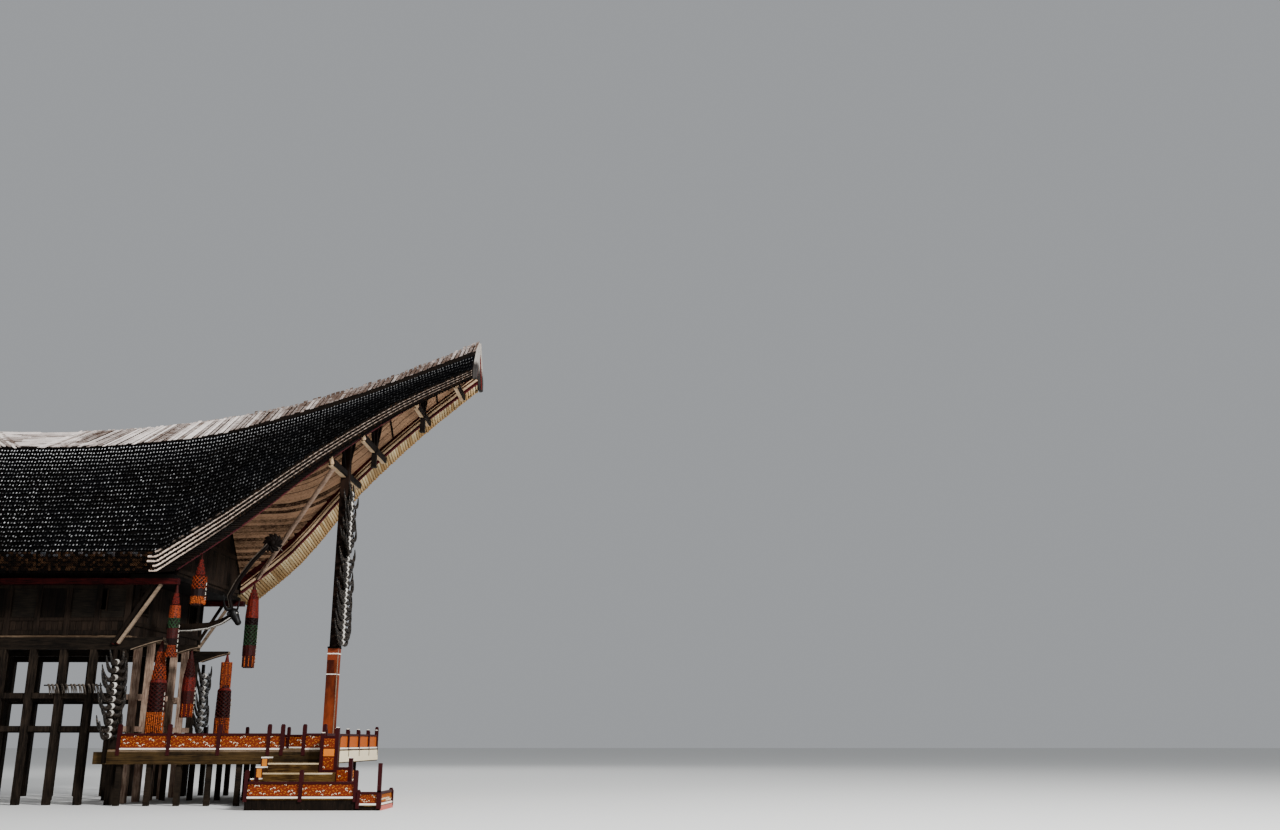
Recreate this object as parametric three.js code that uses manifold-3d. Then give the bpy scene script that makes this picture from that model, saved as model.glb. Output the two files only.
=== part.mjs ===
// A tongkonan: a timber house on pillars under a thick bamboo roof whose ends sweep up into two prows.
// Millimetres, +Z up. The ridge runs along X, the front with its terrace is at +X, and the near side is -Y.
// The origin lies on the ground under the middle of the house, at the foot of the middle pillar.
import * as THREE from 'three';
import { mergeVertices } from 'three/addons/utils/BufferGeometryUtils.js';
import Module from 'manifold-3d';

const wasm = await Module();
wasm.setup();

// Driving sizes of the roof
const HALF_ROOF = 10340;
const END_BOARD = 60;
const HALF_EAVE = 4350;
const RIDGE_LOW = 8270;
const RIDGE_RISE = 2250;
const RIDGE_SWEEP = 2.23;
const COVER_THICKNESS = 100;
const COVER_LOWER_EDGE = 55;
const COVER_WIDTH_MIDDLE = 370;
const COVER_WIDTH_TIP = 230;
const TIERS = 4;
const TIER_STEP = 25;
const TIER_FACE_CORNER = 370;
const TIER_FACE_TIP = 180;
const TIER_UNDERSIDE_RISE = 160;
const SOFFIT_DROP_CORNER = 300;
const SOFFIT_DROP_TIP = 150;
const BARGE_INSET = 0.7;
const BARGE_THICKNESS = 60;
const BARGE_LIFT = 120;

// The verge, from the corner of the eave to the tip of the prow: X, half width and height of its lower edge
const VERGE = new THREE.CatmullRomCurve3([
  new THREE.Vector3(HALF_EAVE, 3050, 4600),
  new THREE.Vector3(5600, 2760, 5580),
  new THREE.Vector3(7200, 1860, 7180),
  new THREE.Vector3(8800, 1180, 8500),
  new THREE.Vector3(HALF_ROOF - END_BOARD, 520, 9500),
]);
const VERGE_STEPS = 12;
const MIDDLE_STEPS = 6;

// Driving sizes of the body
const HALF_BODY = 3450;
const HALF_WIDTH = 2050;
const PILLAR = 130;
const SIDE_PILLARS = 12;
const FRONT_BAYS = 6;
const TIE_LOW = 1440;
const TIE_HIGH = 2100;
const TIE_HEIGHT = 110;
const TIE_THICKNESS = 60;
const FLOOR_BEAM_BOTTOM = 3090;
const FLOOR_BEAM_TOP = 3340;
const FLOOR_BEAM_WIDTH = 140;
const FLOOR_BEAM_TIP = 4250;
const DECK_THICKNESS = 40;
const WALL = 60;
const EAVE_BEAM_BOTTOM = 4440;
const EAVE_BEAM_TOP = 4560;
const EAVE_BEAM_WIDTH = 150;
const EAVE_BEAM_END = 4480;
// Where the two slanting struts at each end of the eave beam start, above, and stand, below
const STRUTS = [{ top: 4130, foot: 3330 }, { top: 3960, foot: 3230 }];
const WALL_SHOULDER = 5400;
const WALL_PEAK = 7600;
const GABLE_X = 4340;
const GABLE_SILL = 90;

// The buffalo head's bracket on the front wall
const BRACKET_BOTTOM = 3650;
const BRACKET_REACH = 1450;
const BRACKET_STRAIGHT = 600;
const BRACKET_RISE = 300;
const BRACKET_BEND = 300;
const BRACKET_HEIGHT = 170;
const BRACKET_TIP_HEIGHT = 70;
const BIRD_FOOT = { x: 4915, z: 4060 };
const BIRD_HEAD = { x: 5720, z: 5660 };
const BIRD_NECK = 95;
const BIRD_CREST = 185;
const BIRD_THICKNESS = 90;
const BUFFALO_HORN = 560;

// Driving sizes of the prow's timbers
const POST_X = 7310;
const POST_LOWER = 240;
const POST_UPPER = 190;
const POST_SHOULDER = 3050;
const TIE_BEAMS = [7950, 9050, 9900];
const KING_POSTS = [7950, 9050];
const TIE_BEAM_WIDTH = 100;
const TIE_BEAM_HEIGHT = 125;
const CROSSHEAD_WIDTH = 140;
const KING_POST_DROP = 330;
// The long pole that slants from the near arm of the crosshead down to the far barge board
const POLE = 70;
const POLE_START_Y = -1000;
const POLE_END_X = 4800;
const POLE_END_LIFT = 170;

// Driving sizes of the terrace and its stair
const TERRACE_START = HALF_BODY + PILLAR / 2 + 0.3;
const TERRACE_END = 7880;
const TERRACE_HALF = 2500;
const TERRACE_TOP = 1080;
const TERRACE_BOARD = 40;
const FASCIA = 240;
const SIDE_FASCIA_START = TERRACE_START - 280;
const JOISTS = 7;
const JOIST_START = 3750;
const JOIST_PITCH = 600;
const RAIL_HEIGHT = 320;
const RAIL_POST = 70;
const SIDE_RAIL_POST = 500;
const FRONT_RAIL_POST = 430;
const RAIL_BAY = 1005;
const STAIR_LEFT = 6850;
const STAIR_RIGHT = 7850;
const STEP_HEIGHTS = [820, 640, 430];
const STEP_DEPTH = 300;
const LOWER_STEPS_RIGHT = 8200;
const CHEEK = 130;
const CHEEK_ABOVE_STEP = 110;
const LANDING_TOP = 220;
const LANDING_DEPTH = 650;
const LANDING_REACH = 50;
const LANDING_END = 8920;
const ENTRY_TOP = 100;
const ENTRY_END = 9360;
const ENTRY_DEPTH = 1200;
const LANDING_POST = 510;
const ENTRY_POST = 260;
const ENTRY_TALL_POST = 750;

// The parapet to the right of the stair, from the stair outwards
const PARAPET_BOXES = [
  { from: STAIR_RIGHT, to: 8180, top: 1320 },
  { from: 8180, to: 8460, top: 720 },
];
const PARAPET_POSTS = [
  { x: STAIR_RIGHT + 50, top: 1400 },
  { x: 8180, top: 1500 },
  { x: 8480, top: 920 },
];

// Touching curved or cut faces stay this far apart
const SEAT = 0.3;

function darkWood() {
  return new THREE.MeshStandardMaterial({ color: 0x4a3d33, roughness: 0.85, metalness: 0 });
}

function greyWood() {
  return new THREE.MeshStandardMaterial({ color: 0x8a7a68, roughness: 0.9, metalness: 0 });
}

function bambooTiles() {
  return new THREE.MeshStandardMaterial({ color: 0x2b2826, roughness: 0.8, metalness: 0 });
}

function paleStrips() {
  return new THREE.MeshStandardMaterial({ color: 0xb9aca0, roughness: 0.9, metalness: 0 });
}

function redPaint() {
  return new THREE.MeshStandardMaterial({ color: 0x6d2419, roughness: 0.6, metalness: 0 });
}

function orangePaint() {
  return new THREE.MeshStandardMaterial({ color: 0xc25a1e, roughness: 0.6, metalness: 0 });
}

function hornGrey() {
  return new THREE.MeshStandardMaterial({ color: 0x6f665d, roughness: 0.7, metalness: 0 });
}

function redBeads() {
  return new THREE.MeshStandardMaterial({ color: 0xa8321f, roughness: 0.7, metalness: 0 });
}

// Turns a closed geometry into a solid that can be cut and joined.
function toSolid(geometry) {
  const bare = geometry.clone();
  bare.deleteAttribute('normal');
  bare.deleteAttribute('uv');
  const merged = mergeVertices(bare, 1e-3);
  return new wasm.Manifold(new wasm.Mesh({
    numProp: 3,
    vertProperties: Float32Array.from(merged.attributes.position.array),
    triVerts: Uint32Array.from(merged.index.array),
  }));
}

function toGeometry(solid) {
  const mesh = solid.getMesh();
  const geometry = new THREE.BufferGeometry();
  geometry.setAttribute('position', new THREE.BufferAttribute(Float32Array.from(mesh.vertProperties), 3));
  geometry.setIndex(new THREE.BufferAttribute(Uint32Array.from(mesh.triVerts), 1));
  return geometry;
}

function join(pieces) {
  let whole = toSolid(pieces[0]);
  for (const piece of pieces.slice(1)) {
    whole = whole.add(toSolid(piece));
  }
  return toGeometry(whole);
}

function cut(piece, tools) {
  let rest = toSolid(piece);
  for (const tool of tools) {
    rest = rest.subtract(toSolid(tool));
  }
  return toGeometry(rest);
}

// A box between two limits on each axis.
function block(x, y, z) {
  const geometry = new THREE.BoxGeometry(x[1] - x[0], y[1] - y[0], z[1] - z[0]);
  return geometry.translate((x[0] + x[1]) / 2, (y[0] + y[1]) / 2, (z[0] + z[1]) / 2);
}

// A square post that stands on a point.
function post(x, y, side, bottom, top) {
  return block([x - side / 2, x + side / 2], [y - side / 2, y + side / 2], [bottom, top]);
}

// A straight bar with a rectangular section from one point to another.
function bar(from, to, width, height) {
  const along = new THREE.Vector3().subVectors(to, from);
  const sideways = new THREE.Vector3(0, 0, 1).cross(along).normalize();
  const upwards = new THREE.Vector3().crossVectors(along, sideways).normalize();
  const turn = new THREE.Matrix4().makeBasis(along.clone().normalize(), sideways, upwards);
  const middle = new THREE.Vector3().addVectors(from, to).multiplyScalar(0.5);
  return new THREE.BoxGeometry(along.length(), width, height).applyMatrix4(turn.setPosition(middle));
}

// An outline in X and Z, extruded along Y and centred on the given Y.
function sideProfile(shape, thickness, y, steps = 6) {
  const geometry = new THREE.ExtrudeGeometry(shape, {
    depth: thickness, bevelEnabled: false, curveSegments: steps,
  });
  return geometry.rotateX(Math.PI / 2).translate(0, y + thickness / 2, 0);
}

// An outline in Y and Z, extruded along X from the given X.
function frontProfile(shape, thickness, x, steps = 6) {
  const geometry = new THREE.ExtrudeGeometry(shape, {
    depth: thickness, bevelEnabled: false, curveSegments: steps,
  });
  return geometry.rotateX(Math.PI / 2).rotateZ(Math.PI / 2).translate(x, 0, 0);
}

// Swaps the corners of every triangle when the surface faces inwards.
function facingOut(points, index) {
  let volume = 0;
  for (let i = 0; i < index.length; i += 3) {
    const [a, b, c] = [points[index[i]], points[index[i + 1]], points[index[i + 2]]];
    volume += a.dot(new THREE.Vector3().crossVectors(b, c));
  }
  if (volume < 0) {
    for (let i = 0; i < index.length; i += 3) {
      [index[i], index[i + 1]] = [index[i + 1], index[i]];
    }
  }
  return index;
}

// A closed solid through rings of points. Each ring holds the same outline in a plane across X.
function loft(rings) {
  const count = rings[0].length;
  const points = rings.flat();
  const index = [];
  for (let r = 0; r < rings.length - 1; r += 1) {
    for (let k = 0; k < count; k += 1) {
      const here = r * count + k;
      const next = r * count + (k + 1) % count;
      index.push(here, next, next + count, here, next + count, here + count);
    }
  }
  for (const [ring, turned] of [[0, true], [rings.length - 1, false]]) {
    const outline = rings[ring].map((p) => new THREE.Vector2(p.y, p.z));
    for (const [a, b, c] of THREE.ShapeUtils.triangulateShape(outline, [])) {
      const base = ring * count;
      const [i, j, k] = [base + a, base + b, base + c];
      const sameWay = THREE.ShapeUtils.isClockWise(outline) === turned;
      index.push(...(sameWay ? [i, j, k] : [i, k, j]));
    }
  }
  const geometry = new THREE.BufferGeometry().setFromPoints(points);
  geometry.setIndex(facingOut(points, index));
  return geometry;
}

// How far a place lies from the corner of the eave, 0, to the tip of the prow, 1.
function prowShare(x) {
  return THREE.MathUtils.clamp((Math.abs(x) - HALF_EAVE) / (HALF_ROOF - HALF_EAVE), 0, 1);
}

function ridgeTop(x) {
  return RIDGE_LOW + RIDGE_RISE * (Math.abs(x) / HALF_ROOF) ** RIDGE_SWEEP;
}

// The stations along the roof, each with its half width and the height of its lower edge.
function roofStations() {
  const prow = VERGE.getPoints(VERGE_STEPS);
  const stations = prow.map((p) => ({ x: p.x, half: p.y, low: p.z }));
  const back = stations.map((s) => ({ ...s, x: -s.x })).reverse();
  const middle = [];
  for (let i = 1; i < MIDDLE_STEPS; i += 1) {
    const x = -HALF_EAVE + (2 * HALF_EAVE * i) / MIDDLE_STEPS;
    middle.push({ x, half: stations[0].half, low: stations[0].low });
  }
  return [...back, ...middle, ...stations];
}

const STATIONS = roofStations();

// The verge at any X, straight between two stations.
function vergeAt(x) {
  const next = STATIONS.findIndex((s) => s.x >= x);
  const [a, b] = [STATIONS[next - 1], STATIONS[next]];
  const share = (x - a.x) / (b.x - a.x);
  return {
    x,
    half: THREE.MathUtils.lerp(a.half, b.half, share),
    low: THREE.MathUtils.lerp(a.low, b.low, share),
  };
}

// The heights and widths of the roof's section at a station.
function roofSection(station) {
  const share = prowShare(station.x);
  const face = THREE.MathUtils.lerp(TIER_FACE_CORNER, TIER_FACE_TIP, share);
  const tileRidge = ridgeTop(station.x) - COVER_THICKNESS;
  const edge = station.half + TIERS * TIER_STEP;
  const edgeTop = station.low + face;
  const slope = (tileRidge - edgeTop) / edge;
  const inner = station.half * BARGE_INSET;
  const tierInside = station.low + TIER_UNDERSIDE_RISE;
  const soffit = tierInside + THREE.MathUtils.lerp(SOFFIT_DROP_CORNER, SOFFIT_DROP_TIP, share);
  return { face, tileRidge, edge, edgeTop, slope, inner, tierInside, soffit, apex: soffit + slope * inner };
}

function coverWidth(x) {
  const share = (Math.abs(x) / HALF_ROOF) ** 2;
  return THREE.MathUtils.lerp(COVER_WIDTH_MIDDLE, COVER_WIDTH_TIP, share);
}

// The outline of the near half of the roof at one station.
function slopeRing(station) {
  const section = roofSection(station);
  const ring = [];
  const add = (out, z) => ring.push(new THREE.Vector3(station.x, -out, z));
  for (const out of [0, coverWidth(station.x), section.edge / 2, section.edge]) {
    add(out, section.tileRidge - section.slope * out);
  }
  for (let tier = 1; tier <= TIERS; tier += 1) {
    const z = section.edgeTop - (section.face * tier) / TIERS;
    add(section.edge - (tier - 1) * TIER_STEP, z);
    add(section.edge - tier * TIER_STEP, z);
  }
  add(section.inner, section.tierInside);
  add(section.inner, section.soffit);
  add(0, section.apex);
  return ring;
}

const nearSlope = loft(STATIONS.map(slopeRing));
const farSlope = nearSlope.clone().rotateZ(Math.PI);
const slopesAbove = [nearSlope.clone().translate(0, 0, -SEAT), farSlope.clone().translate(0, 0, -SEAT)];

// The cap of pale strips astride the ridge. Its underside has the same folds as the slopes that it lies on.
function ridgeCover() {
  return loft(STATIONS.map((station) => {
    const section = roofSection(station);
    const wide = coverWidth(station.x);
    const low = section.tileRidge - section.slope * wide;
    const outline = [
      [wide, low + SEAT],
      [0, section.tileRidge + SEAT],
      [-wide, low + SEAT],
      [-wide, low + COVER_LOWER_EDGE],
      [0, ridgeTop(station.x)],
      [wide, low + COVER_LOWER_EDGE],
    ];
    return outline.map(([y, z]) => new THREE.Vector3(station.x, y, z));
  }));
}

// The boards that close the end of the prow: a broad inverted V.
function endBoard() {
  const x = HALF_ROOF - END_BOARD;
  const tip = roofSection(STATIONS[STATIONS.length - 1]);
  const low = STATIONS[STATIONS.length - 1].low;
  const foot = low - 40;
  const inside = tip.edge - 120;
  const shape = new THREE.Shape([
    new THREE.Vector2(0, ridgeTop(HALF_ROOF)),
    new THREE.Vector2(-tip.edge, low + tip.face),
    new THREE.Vector2(-tip.edge, foot),
    new THREE.Vector2(-inside, foot),
    new THREE.Vector2(0, tip.apex - 260),
    new THREE.Vector2(inside, foot),
    new THREE.Vector2(tip.edge, foot),
    new THREE.Vector2(tip.edge, low + tip.face),
  ]);
  return frontProfile(shape, END_BOARD, x);
}

// One board along the inside of the verge, from the eave to the tip, thicker all round by the given amount.
function bargeBoard(side, grow = 0) {
  const start = vergeAt(GABLE_X + 40);
  const stations = [start, ...STATIONS.filter((s) => s.x > start.x)];
  const rings = stations.map((station) => {
    const section = roofSection(station);
    const outer = section.inner - 2 * SEAT;
    const span = [outer - BARGE_THICKNESS - grow, outer + grow];
    const low = station.low + BARGE_LIFT - grow;
    const high = section.soffit + 80 + grow;
    const outline = [[span[0], low], [span[1], low], [span[1], high], [span[0], high]];
    return outline.map(([y, z]) => new THREE.Vector3(station.x, side * y, z));
  });
  return loft(rings);
}

// The height of the barge boards' lower edge where a beam of the given width crosses under them.
function bargeUnderside(x, width) {
  return vergeAt(x - width / 2).low + BARGE_LIFT;
}

function tieBeam(x) {
  const half = roofSection(vergeAt(x)).inner + 60;
  const top = bargeUnderside(x, TIE_BEAM_WIDTH) + 30;
  return block([x - TIE_BEAM_WIDTH / 2, x + TIE_BEAM_WIDTH / 2], [-half, half], [top - TIE_BEAM_HEIGHT, top]);
}

function kingPost(x) {
  const bottom = bargeUnderside(x, TIE_BEAM_WIDTH) - TIE_BEAM_HEIGHT - KING_POST_DROP;
  return post(x, 0, TIE_BEAM_WIDTH, bottom, roofSection(vergeAt(x)).apex + 100);
}

// The two barge boards with the tie beams and hanging posts between them.
function prowFrame() {
  const pieces = [bargeBoard(-1), bargeBoard(1)];
  for (const x of TIE_BEAMS) {
    pieces.push(tieBeam(x));
  }
  for (const x of KING_POSTS) {
    pieces.push(kingPost(x));
  }
  return cut(join(pieces), slopesAbove);
}

// The tall post that props the prow, with its crosshead and a slanting pole back to the far barge board.
function prowPost() {
  const top = bargeUnderside(POST_X, CROSSHEAD_WIDTH) - SEAT;
  const bottom = top - TIE_BEAM_HEIGHT;
  const half = roofSection(vergeAt(POST_X)).inner + 30;
  const pieces = [
    post(POST_X, 0, POST_LOWER, 0, POST_SHOULDER),
    post(POST_X, 0, POST_UPPER, POST_SHOULDER - 10, roofSection(vergeAt(POST_X)).apex + 100),
    block([POST_X - CROSSHEAD_WIDTH / 2, POST_X + CROSSHEAD_WIDTH / 2], [-half, half], [bottom, top]),
  ];
  const end = vergeAt(POLE_END_X);
  const high = new THREE.Vector3(POST_X - 20, POLE_START_Y, bottom + POLE / 2);
  const low = new THREE.Vector3(end.x, roofSection(end).inner - BARGE_THICKNESS, end.low + POLE_END_LIFT);
  pieces.push(cut(bar(high, low, POLE, POLE), [bargeBoard(1, SEAT)]));
  return cut(join(pieces), slopesAbove);
}

// A pair of horns as one flat crescent, tips up.
function crescent(half, x, y, z, thickness) {
  const shape = new THREE.Shape();
  shape.moveTo(-half, half * 0.5);
  shape.quadraticCurveTo(-half * 0.85, -half * 0.2, 0, -half * 0.2);
  shape.quadraticCurveTo(half * 0.85, -half * 0.2, half, half * 0.5);
  shape.quadraticCurveTo(half * 0.62, half * 0.02, 0, half * 0.02);
  shape.quadraticCurveTo(-half * 0.62, half * 0.02, -half, half * 0.5);
  return frontProfile(shape, thickness, x, 2).translate(0, y, z);
}

// Horns above each other on a batten, which may start lower than the horns.
function hornStack(x, y, stack) {
  const pieces = [block([x, x + 50], [y - 60, y + 60], [stack.foot, stack.top])];
  const pitch = (stack.top - stack.bottom - stack.half * 0.5) / stack.horns;
  for (let i = 0; i < stack.horns; i += 1) {
    pieces.push(crescent(stack.half, x + 25, y, stack.bottom + stack.half * 0.25 + i * pitch, 80));
  }
  return join(pieces);
}

function sidePillarX(index) {
  return -HALF_BODY + (2 * HALF_BODY * index) / (SIDE_PILLARS - 1);
}

// The row of pillars under one long side, held by two tie beams.
function sidePillars() {
  const pieces = [];
  for (let i = 0; i < SIDE_PILLARS; i += 1) {
    pieces.push(post(sidePillarX(i), -HALF_WIDTH, PILLAR, 0, FLOOR_BEAM_BOTTOM));
  }
  const reach = HALF_BODY + 90;
  for (const z of [TIE_LOW, TIE_HIGH]) {
    pieces.push(block([-reach, reach], tieBand(-HALF_WIDTH), [z, z + TIE_HEIGHT]));
  }
  return join(pieces);
}

function tieBand(centre) {
  return [centre - TIE_THICKNESS / 2, centre + TIE_THICKNESS / 2];
}

// The pillars between the two front corners, with the stub ends of the tie beams that pass through them.
function endPillars() {
  const pitch = (2 * HALF_WIDTH) / FRONT_BAYS;
  const pieces = [];
  for (let i = 1; i < FRONT_BAYS; i += 1) {
    const y = -HALF_WIDTH + i * pitch;
    pieces.push(post(HALF_BODY, y, PILLAR, 0, i === FRONT_BAYS / 2 ? FLOOR_BEAM_BOTTOM : FLOOR_BEAM_TOP));
    pieces.push(block([HALF_BODY - 160, HALF_BODY + 200], tieBand(y), [TIE_HIGH, TIE_HIGH + TIE_HEIGHT]));
  }
  const reach = HALF_WIDTH - PILLAR / 2;
  pieces.push(block(tieBand(HALF_BODY), [-reach, reach], [TIE_LOW, TIE_LOW + TIE_HEIGHT]));
  return join(pieces);
}

// The pillars under the middle of the floor.
function middlePillars() {
  const pitch = (4 * HALF_BODY) / (SIDE_PILLARS - 1);
  const pieces = [];
  for (let i = -2; i <= 2; i += 1) {
    pieces.push(post(i * pitch, 0, PILLAR, 0, FLOOR_BEAM_BOTTOM));
  }
  const reach = 2 * pitch + 150;
  pieces.push(block([-reach, reach], tieBand(0), [TIE_HIGH, TIE_HIGH + TIE_HEIGHT]));
  return join(pieces);
}

// A long beam under the floor whose ends rise like the stem of a boat.
function floorBeam(y) {
  const curveStart = FLOOR_BEAM_TIP - 650;
  const shape = new THREE.Shape();
  shape.moveTo(-curveStart, FLOOR_BEAM_BOTTOM);
  shape.lineTo(curveStart, FLOOR_BEAM_BOTTOM);
  shape.quadraticCurveTo(FLOOR_BEAM_TIP - 150, FLOOR_BEAM_TOP - 70, FLOOR_BEAM_TIP, FLOOR_BEAM_TOP - 60);
  shape.lineTo(FLOOR_BEAM_TIP, FLOOR_BEAM_TOP);
  shape.lineTo(-FLOOR_BEAM_TIP, FLOOR_BEAM_TOP);
  shape.lineTo(-FLOOR_BEAM_TIP, FLOOR_BEAM_TOP - 60);
  shape.quadraticCurveTo(-FLOOR_BEAM_TIP + 150, FLOOR_BEAM_TOP - 70, -curveStart, FLOOR_BEAM_BOTTOM);
  return sideProfile(shape, FLOOR_BEAM_WIDTH, y, 5);
}

const FLOOR_TOP = FLOOR_BEAM_TOP + DECK_THICKNESS;
const WALL_OUTSIDE = HALF_WIDTH + 40;
const SLOT_WINDOW = { x: [2800, 2980], z: [3920, 4320] };
const FRONT_WINDOW = { y: [1200, 1650], z: [3900, 4350] };

// One long wall of the living storey with a small slot window near each end.
function sideWall() {
  const ends = HALF_BODY + 30;
  const wall = block([-ends, ends], [-WALL_OUTSIDE, WALL - WALL_OUTSIDE], [FLOOR_TOP, WALL_SHOULDER]);
  const through = [-WALL_OUTSIDE - 50, WALL - WALL_OUTSIDE + 50];
  const windows = [-1, 1].map((end) => {
    const x = SLOT_WINDOW.x.map((value) => end * value).sort((a, b) => a - b);
    return block(x, through, SLOT_WINDOW.z);
  });
  return cut(wall, [...windows, ...slopesAbove]);
}

// The end wall between the long walls, up to the roof, with two small windows.
function endWall() {
  const outside = HALF_BODY + 30;
  const half = WALL_OUTSIDE - WALL;
  const shape = new THREE.Shape([
    new THREE.Vector2(-half, FLOOR_TOP),
    new THREE.Vector2(half, FLOOR_TOP),
    new THREE.Vector2(half, WALL_SHOULDER),
    new THREE.Vector2(0, WALL_PEAK),
    new THREE.Vector2(-half, WALL_SHOULDER),
  ]);
  const wall = frontProfile(shape, WALL, outside - WALL);
  const through = [outside - WALL - 50, outside + 50];
  const windows = [-1, 1].map((side) => {
    const y = FRONT_WINDOW.y.map((value) => side * value).sort((a, b) => a - b);
    return block(through, y, FRONT_WINDOW.z);
  });
  return cut(wall, [...windows, ...slopesAbove]);
}

// The beam along the outside of the wall that carries the eave, with a pair of slanting struts at each end.
function eaveBeam() {
  const inside = -WALL_OUTSIDE;
  const outside = inside - EAVE_BEAM_WIDTH;
  const pieces = [
    block([-EAVE_BEAM_END, EAVE_BEAM_END], [outside, inside], [EAVE_BEAM_BOTTOM, EAVE_BEAM_TOP]),
  ];
  const strutY = -(HALF_WIDTH + FLOOR_BEAM_WIDTH / 2) - SEAT - 30;
  for (const end of [-1, 1]) {
    for (const { top, foot } of STRUTS) {
      const high = new THREE.Vector3(end * top, strutY, EAVE_BEAM_BOTTOM + 30);
      const low = new THREE.Vector3(end * foot, strutY, FLOOR_BEAM_BOTTOM + 110);
      pieces.push(bar(high, low, 60, 55));
    }
  }
  return join(pieces);
}

// The plank gable on its projecting sill.
function gable() {
  const sillTop = EAVE_BEAM_TOP + GABLE_SILL;
  const half = HALF_WIDTH - 10;
  const sillHalf = WALL_OUTSIDE + EAVE_BEAM_WIDTH;
  const shape = new THREE.Shape([
    new THREE.Vector2(-half, sillTop - 20),
    new THREE.Vector2(half, sillTop - 20),
    new THREE.Vector2(half, WALL_SHOULDER),
    new THREE.Vector2(0, WALL_PEAK + 100),
    new THREE.Vector2(-half, WALL_SHOULDER),
  ]);
  const sill = block([HALF_BODY + 30, GABLE_X + 20], [-sillHalf, sillHalf], [EAVE_BEAM_TOP, sillTop]);
  return cut(join([sill, frontProfile(shape, WALL, GABLE_X - WALL)]), slopesAbove);
}

// A carved buffalo head with wide horns at the end of a bracket on the front wall.
function buffaloHead() {
  const start = HALF_BODY + 30;
  const end = start + BRACKET_REACH;
  const top = BRACKET_BOTTOM + BRACKET_HEIGHT;
  const shape = new THREE.Shape();
  shape.moveTo(start, BRACKET_BOTTOM);
  shape.lineTo(start + BRACKET_STRAIGHT, BRACKET_BOTTOM);
  shape.quadraticCurveTo(end - BRACKET_BEND, BRACKET_BOTTOM + 20, end, BRACKET_BOTTOM + BRACKET_RISE);
  shape.lineTo(end, BRACKET_BOTTOM + BRACKET_RISE + BRACKET_TIP_HEIGHT);
  shape.quadraticCurveTo(end - BRACKET_BEND, top, start, top);
  const bracket = sideProfile(shape, 110, 0, 5);
  const head = new THREE.CylinderGeometry(110, 55, 420, 8).rotateX(Math.PI / 2).rotateY(-0.55);
  head.translate(end + 60, 0, BRACKET_BOTTOM + 310);
  return join([bracket, head, crescent(BUFFALO_HORN, end - 20, 0, BRACKET_BOTTOM + 450, 90)]);
}

// A carved bird that rises from the buffalo head on a long curved neck, with a round crest and a short beak.
function longNeckedBird() {
  const neck = new THREE.Shape();
  const middle = { x: 5000, z: 4760 };
  const half = BIRD_NECK / 2;
  neck.moveTo(BIRD_FOOT.x - half, BIRD_FOOT.z);
  neck.quadraticCurveTo(BIRD_FOOT.x - 155, 4430, middle.x - half, middle.z);
  neck.quadraticCurveTo(5160, 5180, BIRD_HEAD.x - 80, BIRD_HEAD.z);
  neck.lineTo(BIRD_HEAD.x - 40, BIRD_HEAD.z - 95);
  neck.quadraticCurveTo(5270, 5150, middle.x + half, middle.z);
  neck.quadraticCurveTo(BIRD_FOOT.x - 35, 4430, BIRD_FOOT.x + half, BIRD_FOOT.z);
  const crest = new THREE.Shape();
  const feathers = 8;
  for (let i = 0; i < 2 * feathers; i += 1) {
    const turn = (Math.PI * i) / feathers;
    const radius = i % 2 === 0 ? BIRD_CREST : 0.72 * BIRD_CREST;
    const x = BIRD_HEAD.x + radius * Math.cos(turn);
    const z = BIRD_HEAD.z + radius * Math.sin(turn);
    if (i === 0) {
      crest.moveTo(x, z);
    } else {
      crest.lineTo(x, z);
    }
  }
  const beak = new THREE.Shape([
    new THREE.Vector2(BIRD_HEAD.x, BIRD_HEAD.z),
    new THREE.Vector2(BIRD_HEAD.x, BIRD_HEAD.z - 110),
    new THREE.Vector2(BIRD_HEAD.x + 250, BIRD_HEAD.z - 190),
  ]);
  const bird = join([
    sideProfile(neck, BIRD_THICKNESS, 0, 6),
    sideProfile(crest, BIRD_THICKNESS + 20, 0, 1),
    sideProfile(beak, BIRD_THICKNESS - 30, 0, 1),
  ]);
  return cut(bird, [buffaloHead().translate(0, 0, SEAT)]);
}

function terraceDeck() {
  const boards = block(
    [TERRACE_START, TERRACE_END], [-TERRACE_HALF, TERRACE_HALF], [TERRACE_TOP - TERRACE_BOARD, TERRACE_TOP],
  );
  const postHole = post(POST_X, 0, POST_LOWER + 2 * SEAT, TERRACE_TOP - 100, TERRACE_TOP + 100);
  return cut(boards, [postHole]);
}

// The edge boards, joists and legs under the terrace.
function terraceFrame() {
  const top = TERRACE_TOP - TERRACE_BOARD;
  const edge = 60;
  const leg = 100;
  const inside = TERRACE_HALF - edge;
  const pieces = [
    block([SIDE_FASCIA_START, TERRACE_END], [-TERRACE_HALF, -inside], [top - FASCIA, top]),
    block([SIDE_FASCIA_START, TERRACE_END], [inside, TERRACE_HALF], [top - FASCIA, top]),
    block([TERRACE_END - edge, TERRACE_END], [-TERRACE_HALF, TERRACE_HALF], [top - FASCIA, top]),
  ];
  for (let i = 0; i < JOISTS; i += 1) {
    const x = JOIST_START + JOIST_PITCH * i;
    pieces.push(block([x - 35, x + 35], [-inside - 10, inside + 10], [top - 140, top]));
    for (const row of [-1, 0, 1]) {
      if (i < JOISTS - 1 || row !== 0) {
        pieces.push(post(x, row * (inside - leg / 2), leg, 0, top - 120));
      }
    }
  }
  const postHole = post(POST_X, 0, POST_LOWER + 2 * SEAT, 0, TERRACE_TOP);
  return cut(join(pieces), [postHole]);
}

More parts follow.
